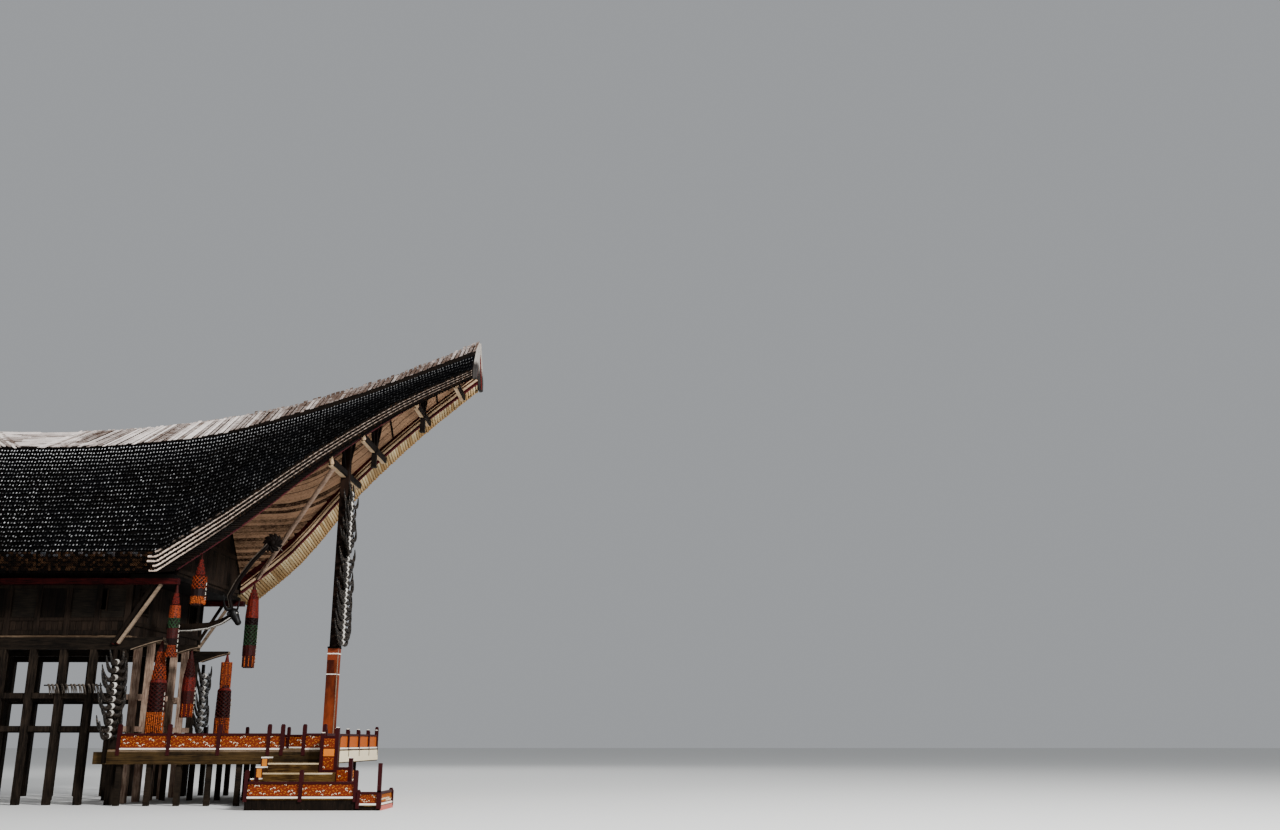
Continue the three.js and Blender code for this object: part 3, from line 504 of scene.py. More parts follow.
class Section:
    """The roof's outline across its length at one X."""

    def __init__(self, x):
        self.x = x
        self.half, self.low = verge_at(x)
        share = limited((abs(x) - HALF_EAVE) / (HALF_ROOF - HALF_EAVE))
        self.face = mix(TIER_FACE_CORNER, TIER_FACE_TIP, share)
        self.tile_ridge = ridge_top(x) - COVER_THICKNESS
        self.edge = self.half + TIERS * TIER_STEP
        self.edge_top = self.low + self.face
        self.slope = (self.tile_ridge - self.edge_top) / self.edge
        self.inner = self.half * BARGE_INSET
        self.tier_inside = self.low + TIER_UNDERSIDE_RISE
        self.soffit = self.tier_inside + mix(SOFFIT_DROP_CORNER, SOFFIT_DROP_TIP, share)
        self.apex = self.soffit + self.slope * self.inner
        self.stretch = math.hypot(1, self.slope)
        self.length = self.edge * self.stretch

    def on_tiles(self, side, distance):
        """The point on the tiles at a distance down from the ridge."""
        out = distance / self.stretch
        return at(self.x, side * out, self.tile_ridge - self.slope * out)

    def under_roof(self, side, share, drop):
        """The point on the soffit at a share of the way from the ridge to the barge board."""
        out = self.inner * share
        return at(self.x, side * out, self.apex - self.slope * out - drop)


def along_roof(start, end, pitch):
    """X values from start to end whose sections lie one pitch apart along the ridge."""
    x = start
    places = []
    while x < end:
        places.append(x)
        x += pitch / math.hypot(1, ridge_climb(x))
    return places


# Each angle round a tile, and how much of the painted highlight its crown carries
TILE_ARC = [(math.radians(a), crown) for a, crown in ((-80, 0.0), (-10, 1.0), (10, 1.0), (80, 0.0))]


def tile(pile, origin, along, down, upwards, width, glint, chance):
    """One half tube of bamboo: its round back, its lip, which carries the painted highlight, and its cut end.
    """
    count = len(TILE_ARC)
    length = TILE_LENGTH + chance.uniform(-0.015, 0.02)
    sections = [
        (-0.1, width * 0.44, -0.028, 0.0),
        (length - TILE_LIP, width * 0.5, 0.008, 0.5),
        (length, width * 0.52, 0.018, 1.0),
        (length - 0.004, width * 0.3, 0.012, 0.9),
    ]
    points = []
    tints = []
    dark = chance.random()
    for place, radius, lift, lip in sections:
        for turn, crown in TILE_ARC:
            out = radius * math.sin(turn)
            high = radius * math.cos(turn) + lift
            points.append(origin + along * out + down * place + upwards * high)
            tints.append((glint, crown * lip, dark))
    faces = []
    for ring in range(0, (len(sections) - 1) * count, count):
        for k in range(count - 1):
            here = ring + k
            faces.append((here, here + 1, here + 1 + count, here + count))
    pile.add(points, faces, 0, dark, tints)


def tiles(name, side, chance):
    """Rows of tiles from the ridge cover down to the eave and the verges of one slope."""
    pile = Pile()
    end = HALF_ROOF - END_BOARD - 0.05
    rows_middle = Section(0).length / TILE_PITCH
    for x in along_roof(-end, end, TILE_WIDTH):
        section = Section(x)
        ahead = Section(min(x + 0.05, end))
        behind = Section(max(x - 0.05, -end))
        eave = Section(min(abs(x), HALF_EAVE))
        pitch = eave.length / rows_middle
        start = (cover_width(x) - 0.02) * section.stretch
        down = at(0, side, -section.slope).normalized()
        row = 0
        while True:
            distance = start + row * pitch + chance.uniform(-0.01, 0.01)
            if distance > section.length - 0.07:
                break
            origin = section.on_tiles(side, distance)
            along = (ahead.on_tiles(side, distance) - behind.on_tiles(side, distance)).normalized()
            upwards = along.cross(down) * side
            origin += along * (0.5 * TILE_WIDTH * (row % 2) + chance.uniform(-0.008, 0.008))
            width = TILE_WIDTH * chance.uniform(0.92, 1.08)
            # The glint is a painted highlight: bright in the first rows under the ridge cover, dimmer and
            # patchy lower down, fading towards the prows
            middle = math.exp(-((x / 6) ** 2))
            cluster = 0.5 + 0.5 * math.sin(1.3 * x + 0.4 * row) * math.sin(0.9 * x - 0.31 * row + 1)
            dull = (0.05 + 0.95 * chance.random() ** 2) * mix(0.5, 1.0, cluster)
            dull *= mix(0.01, 1.0, middle ** 1.6)
            bright = mix(0.8, 1.0, chance.random()) * mix(0.12, 1.0, middle)
            glint = mix(dull, bright, math.exp(-((row / mix(1.2, 4, middle)) ** 2)))
            tile(pile, origin, along, down, upwards, width, glint, chance)
            row += 1
    return pile.finish(name, [TILE_LOOK], "bamboo_tiles")


def tube_end(pile, tip, inwards, sideways, radius, length, light, rim, rim_glint=0.0):
    """A short bamboo tube lying along one direction, whose cut end has a shallow bore closed 4 mm in and
    painted near-black as the shade inside.
    """
    sides = 6
    upwards = inwards.cross(sideways)
    bore = radius * TUBE_BORE
    rings = [(length, radius, light, 0), (0.0, radius, rim, 0), (0.0, bore, rim, 0), (0.004, bore, 0, 1)]
    points = []
    tints = []
    for place, size, tone, painted_hollow_shade in rings:
        for a, b in circle(sides):
            points.append(tip + inwards * place + (sideways * a + upwards * b) * size)
            tints.append((tone, float(painted_hollow_shade), rim_glint if place < 0.003 else 0.0))
    faces = []
    for ring in range(2):
        for k in range(sides):
            here = ring * sides + k
            following = ring * sides + (k + 1) % sides
            faces.append((here, following, following + sides, here + sides))
    faces.append(tuple(3 * sides + k for k in range(sides)))
    pile.add(points, faces, 0, light, tints)


def edge_tubes(name, side, chance):
    """The stepped tiers of short tubes along the eave and the two verges of one slope."""
    pile = Pile()
    end = HALF_ROOF - END_BOARD - 0.04
    rows = 2 * TIERS
    for row in range(rows):
        x = -end
        while x < end:
            section = Section(x)
            height = section.face / rows
            radius = max(height * 0.52, 0.018)
            rise = edge_climb(x, end)
            out = section.edge - (row // 2) * TIER_STEP + TIER_OVERHANG + chance.uniform(-0.012, 0.012)
            tip = at(x, side * out, section.edge_top - height * (row + 0.5))
            sideways = at(1, 0, rise).normalized()
            tone = chance.random() ** 3
            rim_glint = 0.0
            # Some rims in the two top rows get a painted highlight: a pale glint put into their colour
            if row < 2 and abs(x) < HALF_EAVE + 1 and chance.random() < 0.3:
                rim_glint = 0.12 * chance.random()
            tube_end(pile, tip, at(0, -side, 0), sideways, radius, 0.1, tone, tone, rim_glint)
            x += 2.1 * radius / math.hypot(1, rise)
    return pile.finish(name, [TUBE_LOOK], "bamboo_tiles")


def underside_tubes(name, side, look, chance):
    """Tubes side by side under the lowest tier, from its ragged edge to the barge board."""
    pile = Pile()
    end = HALF_ROOF - END_BOARD - 0.04
    x = -end
    while x < end:
        section = Section(x)
        rise = edge_climb(x, end)
        radius = UNDERSIDE_TUBE * 0.5
        slant = TIER_UNDERSIDE_RISE / (section.half - section.inner)
        inwards = at(0, -side, slant).normalized()
        sideways = at(1, 0, rise).normalized()
        tip = at(x, side * (section.half + chance.uniform(-0.01, 0.045)), section.low - radius * 0.35)
        length = (section.half - section.inner) * math.hypot(1, slant) * 0.99
        tube_end(pile, tip, inwards, sideways, radius, length, chance.uniform(0.15, 1.0), 0.05)
        x += UNDERSIDE_TUBE * 1.03 / math.hypot(1, rise)
    return pile.finish(name, [look], "bamboo_tiles")


def verge_poles(name, side, chance):
    """Bundles of canes along the verges' tiers: pale at the corner of the eave, darker towards the tip."""
    pile = Pile()
    end = HALF_ROOF - END_BOARD - 0.02
    steps = 120
    # Each cane's tone from the top; the canes near 0 are near-black, painted shade in the gaps between the
    # pale ones
    cane_tones_and_shade_gaps = [0.45, 0.0, 0.85, 0.05, 0.95, 0.0, 0.95, 0.05, 0.8]
    thin_lines = {2: 0.42, 4: 0.5, 6: 0.42}
    for direction in (-1, 1):
        for line, tone in enumerate(cane_tones_and_shade_gaps):
            start = HALF_EAVE - chance.uniform(0.02, 0.2)
            level = line / (len(cane_tones_and_shade_gaps) - 1)
            path = []
            radii = []
            shades = []
            for i in range(steps + 1):
                share = i / steps
                section = Section(direction * mix(start, end, share))
                out = section.edge - max(level * TIERS - 0.5, 0) * TIER_STEP + TIER_OVERHANG
                high = section.edge_top - section.face * level
                path.append(at(section.x, side * out, high))
                fade = math.exp(-((share / 0.2) ** 2))
                radii.append(section.face / (len(cane_tones_and_shade_gaps) - 1) * mix(0.34, 0.44, fade))
                far = thin_lines.get(line, 0.0) * (1.0 - 0.55 * (i % 2))
                ragged = 0.45 if line == 0 else 0.2
                shades.append(limited(mix(far, tone, fade) + chance.uniform(-ragged, 0.1) * fade))
            pile.tube(path, radii, 6, 0, shades)
    return pile.finish(name, [CANE], "pale_strips")


def lay_strip(pile, points, upwards, width, along, shade):
    """A flat strip through three or more points."""
    rings = []
    for point in points:
        a = point - along * width / 2
        b = point + along * width / 2
        rings.append([a, b, b + upwards * 0.012, a + upwards * 0.012])
    pile.loft(rings, 0, shade)


def on_cover(x, side, share):
    """The point on the ridge cover at a share of the way from the ridge, 0, to its lower edge, 1."""
    section = Section(x)
    wide = cover_width(x) * share
    drop = (COVER_THICKNESS - COVER_LOWER_EDGE) * share
    return at(x, side * wide, section.tile_ridge + COVER_THICKNESS - drop - section.slope * wide)


def strips(name, chance):
    """Pale strips over the ridge: lengthwise at its middle, slanting beside it, upright along the prows."""
    pile = Pile()
    end = HALF_ROOF - 0.06
    for side in (-1, 1):
        upwards = at(0, side * 0.7, 0.7)
        courses = 6
        for course in range(courses):
            x = -1.5 + chance.uniform(0, 0.4)
            while x < 0.5:
                length = chance.uniform(0.9, 1.5)
                share = (course + 0.5) / courses
                tilt = chance.uniform(-0.06, 0.06)
                lift = at(0, 0, chance.uniform(0.006, 0.022))
                a = on_cover(x, side, max(0.0, share - tilt)) + lift
                b = on_cover(x + length, side, max(0.0, share + tilt)) + lift
                across = at(0, side * 0.7, -0.7)
                shade = chance.uniform(0.3, 1.0)
                lay_strip(pile, [a, (a + b) / 2, b], upwards, STRIP_WIDTH * 0.8, across, shade)
                x += length * 0.8
        for x in along_roof(-end, end, STRIP_WIDTH):
            if abs(x) < 0.25:
                continue
            lean = math.copysign(0.06 + 0.6 * math.exp(-((abs(x) / 4) ** 2)), x)
            grey = limited((abs(x) - 4) / 3)
            lift = at(0, 0, chance.uniform(0.012, 0.034))
            points = []
            foot = mix(1.06, 0.74, grey)
            for share in (0.0, 0.5 * foot, 0.94 * foot, foot + chance.uniform(0, 0.08)):
                here = max(-end, min(end, x + lean * (1 - share)))
                points.append(on_cover(here, side, share) + lift)
            beyond = (points[0] - points[1]).normalized() * chance.uniform(0.0, mix(0.05, 0.08, grey))
            points.insert(0, points[0] + beyond)
            along = at(1, 0, ridge_climb(x)).normalized()
            turned = 1 / math.hypot(1, lean * 0.8)
            width = STRIP_WIDTH * turned * chance.uniform(mix(0.5, 0.56, grey), mix(0.76, 0.86, grey))
            shade = max(0.0, mix(chance.uniform(0.1, 1.0), chance.uniform(-0.6, 0.4), grey))
            lay_strip(pile, points, upwards, width, along, shade)
    return pile.finish(name, [STRIP_LOOK], "pale_strips")


def slat_rise(x):
    """How much a slat climbs from the gable to X: level at first, then ever more along the verge."""
    rise = 0.0
    steps = 24
    for i in range(steps):
        here = mix(GABLE_X, x, (i + 0.5) / steps)
        share = min(1.0, max(0.12, (here - 5.0) / 2.8))
        climb = (verge_at(here + 0.02)[1] - verge_at(here - 0.02)[1]) / 0.04
        rise += share * climb * (x - GABLE_X) / steps
    return rise


def soffit(name, direction, chance):
    """Split bamboo slats under the prow, level at the gable and climbing with the verge, on thin rafters."""
    pile = Pile()
    start = GABLE_X + 0.03
    end = HALF_ROOF - END_BOARD - 0.02
    count = 36
    sections = [Section(mix(start, end, i / count)) for i in range(count + 1)]
    rises = [slat_rise(section.x) for section in sections]
    pitch = 0.062
    lowest = min(s.apex - s.slope * s.inner - r for s, r in zip(sections, rises))
    highest = max(s.apex - r for s, r in zip(sections, rises))
    for side in (-1, 1):
        for slat in range(int((highest - lowest) / pitch) + 1):
            base = lowest + slat * pitch
            tone = chance.random()
            drop = 0.012 + chance.uniform(0, 0.014)
            run = []
            for section, rise in zip(sections, rises):
                bottom = max(base + rise, section.apex - section.slope * section.inner)
                top = min(base + rise + pitch * 0.86, section.apex - 0.01)
                if top - bottom < 0.01:
                    if len(run) > 1:
                        pile.loft(run, 0, tone)
                    run = []
                    continue
                ring = []
                for z in (bottom, top):
                    out = (section.apex - z) / section.slope
                    ring.append(at(direction * section.x, side * out, z - drop))
                lift = at(0, 0, 0.008)
                run.append([ring[0], ring[1], ring[1] + lift, ring[0] + lift])
            if len(run) > 1:
                pile.loft(run, 0, tone)
        x = start + 2.7
        while x < end - 0.2:
            section = Section(direction * x)
            high = section.under_roof(side, 0.02, 0.035)
            low = section.under_roof(side, 0.98, 0.035)
            pile.bar(high, low, 0.035, 0.035, 1, chance.uniform(0.2, 0.8))
            x += 1.1
    path = [at(direction * s.x, 0, s.apex - 0.09) for s in sections]
    pile.tube(path, [0.05] * len(path), 8, 1, 0.5)
    return pile.finish(name, [SOFFIT_LOOK, DARK_TIMBER], "grey_wood")


# Each batten's height over the roof's lower edge, its distance inside the board's face, its radius and slot;
# slot 1, the pale inner battens, is painted as lit, slot 0, the rose outer one, as shaded
BARGE_BATTENS = [(0.2, 0.075, 0.03, 1), (0.13, 0.0, 0.028, 0), (0.3, 0.068, 0.014, 1)]


def barge_trim(name, direction):
    """Battens along the lower edge of both barge boards: one trim painted lit and pale on the inside, and
    painted shaded and rose on the outside.
    """
    pile = Pile()
    end = HALF_ROOF - END_BOARD - 0.02
    for side in (-1, 1):
        for high, inside, radius, slot in BARGE_BATTENS:
            path = []
            for i in range(25):
                section = Section(direction * mix(GABLE_X + 0.06, end, i / 24))
                path.append(at(section.x, side * (section.inner - inside), section.low + high))
            pile.tube(path, [radius] * len(path), 6, slot, 0.5)
    return pile.finish(name, [SHADED_TRIM, PALE_BATTEN], "red_paint")


def barge_underside(x, width):
    """The height of the barge boards' lower edge where a beam of the given width crosses under them."""
    return verge_at(x - width / 2)[1] + BARGE_LIFT


def edged_beam(pile, x, half, width, bottom, top):
    """A dark crossbeam with a pale board under it and pale noses that curl up at its ends."""
    wide = width / 2 + 0.005
    pile.box(around(x, wide), (-half, half), (bottom - 0.004, top + 0.003), 0, 0.4)
    pile.box((x - wide - 0.012, x + wide * 0.3), (-half, half), (bottom - 0.022, bottom - 0.004), 1, 0.6)
    for side in (-1, 1):
        path = []
        for out, high in ((-0.05, 0.04), (0.03, 0.05), (0.09, 0.1), (0.12, 0.18), (0.115, 0.25)):
            path.append(at(x, side * (half + out), bottom + high))
        pile.tube(path, [0.05, 0.05, 0.046, 0.04, 0.03], 8, 1, 0.4)


def prow_timbers(name, direction):
    """The dark tie beams, hanging posts and braces in the prow, and the pale pole down to the far verge."""
    pile = Pile()
    for x in TIE_BEAMS:
        top = barge_underside(x, TIE_BEAM_WIDTH) + 0.03
        edged_beam(pile, x, verge_at(x)[0] * BARGE_INSET + 0.06, TIE_BEAM_WIDTH, top - TIE_BEAM_HEIGHT, top)
    post_top = barge_underside(POST_X, CROSSHEAD_WIDTH)
    post_half = verge_at(POST_X)[0] * BARGE_INSET + 0.03
    edged_beam(pile, POST_X, post_half, CROSSHEAD_WIDTH, post_top - TIE_BEAM_HEIGHT, post_top - 0.004)
    for x in KING_POSTS:
        low = barge_underside(x, TIE_BEAM_WIDTH) - TIE_BEAM_HEIGHT - KING_POST_DROP
        wide = TIE_BEAM_WIDTH / 2 + 0.005
        pile.box(around(x, wide), (-wide, wide), (low - 0.006, Section(x).apex - 0.02), 0, 0.3)
        collar = (x - wide - 0.01, x + wide + 0.01)
        pile.box(collar, (-wide - 0.01, wide + 0.01), (low - 0.01, low + 0.03), 0, 0.7)
    for x in (POST_X, *KING_POSTS):
        section = Section(x)
        foot = barge_underside(x, TIE_BEAM_WIDTH) + 0.02
        for side in (-1, 1):
            knee = section.under_roof(side, 0.5, 0.05)
            pile.bar(at(x, side * 0.12, foot), knee, 0.06, 0.07, 0, 0.3)
    foot = Section(POLE_END_X)
    high = at(POST_X - 0.02, POLE_START_Y, post_top - TIE_BEAM_HEIGHT + 0.02)
    low = at(POLE_END_X, foot.inner - 0.05, foot.low + POLE_END_LIFT)
    path = [high.lerp(low, i / 12) for i in range(13)]
    pile.tube(path, [0.05 + 0.004 * (i % 2) for i in range(13)], 10, 2, 0.6)
    pile.points = [(direction * x, direction * y, z) for x, y, z in pile.points]
    return pile.finish(name, [BLACK_TIMBER, PALE_BATTEN, POLE], "dark_wood", bevel=0.003)


def end_boards(name, direction):
    """The second, smaller pair of boards on the end of the prow, with a red inner lining."""
    pile = Pile()
    tip = Section(HALF_ROOF - END_BOARD)
    face = direction * HALF_ROOF
    for side in (-1, 1):
        for depth, slot, outside, inside in ((0.03, 0, 0.0, 0.16), (0.022, 1, 0.17, 0.2)):
            top_a = ridge_top(HALF_ROOF) - outside * 1.4 - 0.01
            top_b = ridge_top(HALF_ROOF) - inside * 1.4 - 0.01
            low = tip.low - 0.03
            outer = tip.edge - outside
            inner = tip.edge - inside
            shoulder = tip.low + tip.face - outside * 0.4
            outline = [
                (0, top_a), (outer, shoulder), (outer, low),
                (inner, low), (inner, shoulder - 0.12), (0, top_b),
            ]
            ring = [at(face, side * y, z) for y, z in outline]
            front = [p + at(direction * depth, 0, 0) for p in ring]
            pile.loft([ring, front], slot, 0.5)
    return pile.finish(name, [GREY_BOARD, RED_PAINT], "dark_wood", bevel=0.004)


# Sections of the forehead between two horns: height, half width and depth
FOREHEAD = [(0.04, 0.05, 0.045), (0.0, 0.06, 0.07), (-0.04, 0.045, 0.06), (-0.075, 0.025, 0.03)]


def horn_pair(pile, centre, half, chance):
    """Two thick horns that sweep out and up from a white bony forehead."""
    thick = 0.052
    swing = Matrix.Rotation(chance.uniform(-0.22, 0.22), 3, "Z")
    turn = swing @ Matrix.Rotation(chance.uniform(-0.1, 0.1), 3, "X")
    for side in (-1, 1):
        path = []
        radii = []
        shades = []
        for i in range(10):
            share = i / 9
            out = half * math.sin(share * 1.45) / math.sin(1.45)
            high = half * (0.62 * share ** 2.4 - 0.2 * math.sin(share * math.pi))
            bend = 0.03 * math.sin(share * math.pi)
            path.append(centre + turn @ at(bend, side * out, high))
            radii.append(mix(thick, 0.01, share ** 2))
            shades.append(share)
        pile.tube(path, radii, 8, 0, shades)
    rings = []
    for high, wide, deep in FOREHEAD:
        corners = [(-0.02, -wide), (deep, -wide * 0.7), (deep, wide * 0.7), (-0.02, wide)]
        rings.append([centre + at(x, y, high) for x, y in corners])
    pile.loft(rings, 1, chance.random())


def horn_stack(name, node, centre_y, low, high, half, count, chance):
    """Pairs of horns above each other on a batten, in the place of the stack's solid."""
    corner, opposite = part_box(node)
    outwards = 1 if corner[0] > 0 else -1
    back = corner[0] if outwards > 0 else opposite[0]
    pile = Pile()
    pitch = (high - low - half * 0.5) / count
    for i in range(count):
        z = low + half * 0.25 + i * pitch
        centre = at(0.05, 0, z + chance.uniform(-0.015, 0.015))
        horn_pair(pile, centre, half * chance.uniform(0.93, 1.03), chance)
    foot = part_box(node)[0][2]
    pile.box((0, 0.045), (-0.06, 0.06), (foot, high), 2, 0.4)
    pile.points = [(back + outwards * x, centre_y + y, z) for x, y, z in pile.points]
    if outwards < 0:
        pile.faces = [list(reversed(face)) for face in pile.faces]
    return pile.finish(name, [HORN, BONE, DARK_TIMBER], "horn", [node], smooth=True)


def frustum(pile, x, y, top, bottom, high_radius, low_radius, tint):
    """One band of an ornament, of a single colour, slightly pleated."""
    sides = 24
    rings = []
    for z, radius in ((top, high_radius), (bottom, low_radius)):
        ring = []
        for k, (a, b) in enumerate(circle(sides)):
            pleated = radius * (1 + 0.045 * (k % 2))
            ring.append(at(x + pleated * a, y + pleated * b, z))
        rings.append(ring)
    pile.loft(rings, 0, 0.5, [tint] * (2 * sides))


def string(pile, start, end, size, tint):
    """A thin string of beads."""
    along = (end - start).normalized()
    sideways = along.orthogonal().normalized()
    upwards = along.cross(sideways)
    rings = []
    for spot in (start, end):
        rings.append([spot + (sideways * math.cos(a) + upwards * math.sin(a)) * size for a in (0, 2.1, 4.2)])
    pile.loft(rings, 0, 0.5, [tint] * 6)


def net(pile, x, y, top, bottom, radius, count, tint):
    """Crossing bead strings around a band."""
    for k in range(count):
        for lean in (-1, 1):
            a = 2 * math.pi * k / count
            b = a + lean * 2 * math.pi / count
            start = at(x + radius * math.cos(a), y + radius * math.sin(a), top)
            end = at(x + radius * math.cos(b), y + radius * math.sin(b), bottom)
            string(pile, start, end, 0.011, tint)


def fringe(pile, x, y, top, radius, length, tint, chance):
    """Separate strings that hang from a hem, each with a pale bead at its end."""
    count = 26
    for k, (a, b) in enumerate(circle(count)):
        start = at(x + radius * a, y + radius * b, top)
        end = start - at(0, 0, length * chance.uniform(0.85, 1.0))
        string(pile, start, end, 0.012, tint if k % 3 else GOLD)


BLACK = (0.0, 0.0, 0.0)
MAROON = (0.12, 0.0, 0.0)
RUST = (0.42, 0.0, 0.0)
RED = (0.52, 0.0, 0.0)
ORANGE = (0.66, 0.0, 0.0)
GOLD = (1.0, 0.0, 0.0)
WHITE = (0.5, 1.0, 0.0)
GREEN = (0.3, 0.0, 1.0)

# Each hanging's bands from the top: where one ends as a share of the height, its radius there as a share,
# its colour, and whether it is closed cloth, a net of strings over a dark core, or hanging strings
EAVE_BANDS = [
    (0.13, 0.3, MAROON, "cloth"), (0.28, 0.55, RUST, "net"), (0.3, 0.78, MAROON, "cloth"),
    (0.47, 0.84, ORANGE, "cloth"), (0.61, 0.86, GREEN, "net"), (0.75, 0.88, MAROON, "cloth"),
    (0.84, 0.5, BLACK, "cloth"), (1.0, 0.95, ORANGE, "net"),
]
NEAR_VERGE_BANDS = [
    (0.12, 0.12, MAROON, "cloth"), (0.42, 0.6, RUST, "net"), (0.45, 0.85, MAROON, "cloth"),
    (0.7, 0.95, ORANGE, "net"), (0.84, 0.95, BLACK, "cloth"), (1.0, 0.9, GOLD, "strings"),
]
FAR_VERGE_BANDS = [
    (0.08, 0.3, MAROON, "cloth"), (0.2, 0.8, RUST, "net"), (0.42, 1.0, RED, "cloth"),
    (0.5, 1.0, BLACK, "net"), (0.74, 1.0, GREEN, "net"), (0.86, 0.98, MAROON, "cloth"),
    (1.0, 0.9, MAROON, "strings"),
]
NEAR_BEAM_BANDS = [
    (0.12, 0.4, MAROON, "cloth"), (0.42, 0.85, ORANGE, "net"), (0.45, 0.95, RUST, "cloth"),
    (0.76, 1.0, MAROON, "net"), (1.0, 0.98, GOLD, "strings"),
]
MIDDLE_BEAM_BANDS = [
    (0.15, 0.35, MAROON, "cloth"), (0.42, 0.9, MAROON, "net"), (0.62, 1.0, RUST, "cloth"),
    (0.8, 0.95, MAROON, "cloth"), (1.0, 0.9, RUST, "strings"),
]
FAR_BEAM_BANDS = [
    (0.1, 0.3, RUST, "cloth"), (0.42, 0.7, ORANGE, "strings"), (0.45, 0.9, RUST, "cloth"),
    (0.78, 1.0, MAROON, "net"), (1.0, 0.98, ORANGE, "strings"),
]


def hanging(name, node, bands, chance):
    """A hanging of bead and cloth bands below each other, in the place of its solid."""
    low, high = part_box(node)
    x = (low[0] + high[0]) / 2
    y = (low[1] + high[1]) / 2
    radius = (high[0] - low[0]) / 2
    tall = high[2] - low[2]
    pile = Pile()
    pile.tube([at(x, y, high[2]), at(x, y, low[2] + 0.1)], [0.014, 0.014], 6, 1, 0.9)
    above = high[2]
    wide = radius * 0.1
    for end, share, tint, kind in bands:
        below = high[2] - tall * end
        size = radius * share
        if kind == "cloth":
            frustum(pile, x, y, above, below, wide, size, tint)
        else:
            frustum(pile, x, y, above, below, wide * 0.84, size * 0.84, BLACK if kind == "net" else MAROON)
        if kind == "net":
            rows = max(1, round((above - below) / 0.09))
            for row in range(rows):
                a = mix(above, below, row / rows)
                b = mix(above, below, (row + 1) / rows)
                net(pile, x, y, a, b, mix(wide, size, (row + 0.5) / rows), 10, tint)
        if kind == "strings":
            fringe(pile, x, y, above, size, above - below, tint, chance)
        above = below
        wide = size
    turn = -0.25 if y < 0 else 0.25
    out = at(math.cos(turn), math.sin(turn), 0) * radius
    for i in range(int(tall * 4.5)):
        spot = at(x, y, low[2] + 0.1 + i * 0.1) + out
        string(pile, spot, spot + at(0, 0, 0.06), 0.014, WHITE)
    return pile.finish(name, [BEADS, BONE], "red_beads", [node])


# Sections of the buffalo's head: the share of its length from the crown, half width and depth
HEAD_SECTIONS = [
    (0, 0.06, 0.06), (0.08, 0.115, 0.1), (0.3, 0.125, 0.115), (0.5, 0.095, 0.095),
    (0.75, 0.07, 0.075), (0.92, 0.08, 0.07), (1.0, 0.05, 0.04),
]
HEAD_LENGTH = 0.4


def buffalo(name):
    """The carved head on its painted bracket, with swept horns and ears."""
    pile = Pile()
    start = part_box("buffalo_head")[0][0]
    path = [
        at(start, 0, 3.735), at(start + 0.55, 0, 3.735), at(start + 0.95, 0, 3.775),
        at(start + 1.25, 0, 3.88), at(start + 1.44, 0, 4.0),
    ]
    rings = []
    for i, point in enumerate(path):
        tall = mix(0.17, 0.09, i / (len(path) - 1))
        wide = 0.055
        rings.append([
            point + at(0, -wide, -tall / 2), point + at(0, wide, -tall / 2),
            point + at(0, wide, tall / 2), point + at(0, -wide, tall / 2),
        ])
    pile.loft(rings, 2, 0.5)
    crown = at(start + 1.43, 0, 4.14)
    down = at(0.5, 0, -0.86).normalized()
    front = at(0.86, 0, 0.5).normalized()
    head = []
    for share, wide, deep in HEAD_SECTIONS:
        centre = crown + down * (HEAD_LENGTH * share)
        head.append([centre + at(0, wide * a, 0) + front * (deep * b) for a, b in circle(12)])
    pile.loft(head, 0, 0.7)
    for side in (-1, 1):
        horn = []
        sizes = []
        for i in range(11):
            share = i / 10
            out = 0.08 + 0.46 * math.sin(share * 1.5)
            rise = 0.3 * share ** 2.4 - 0.05 * math.sin(share * math.pi)
            horn.append(crown + at(-0.02, side * out, rise))
            sizes.append(mix(0.05, 0.006, share ** 1.2))
        pile.tube(horn, sizes, 9, 0, [0.2 + 0.8 * i / 10 for i in range(11)])
        ear = [crown + at(0, side * (0.1 + 0.16 * s), -0.09 - 0.05 * s) for s in (0, 0.4, 0.8, 1)]
        pile.tube(ear, [0.02, 0.045, 0.03, 0.005], 7, 0, 0.9)
        eye = crown + down * 0.15 + front * 0.085 + at(0, side * 0.075, 0)
        pile.tube([eye - front * 0.01, eye + front * 0.012], [0.022, 0.012], 8, 1, 0.5)
    for side in (-1, 1):
        edge = [point + at(0, side * 0.058, -mix(0.085, 0.045, i / 4)) for i, point in enumerate(path)]
        pile.tube(edge, [0.012] * len(edge), 6, 1, 0.3)
    return pile.finish(name, [BLACK_HORN, BONE, DARK_TIMBER], "dark_wood", ["buffalo_head"], smooth=True)


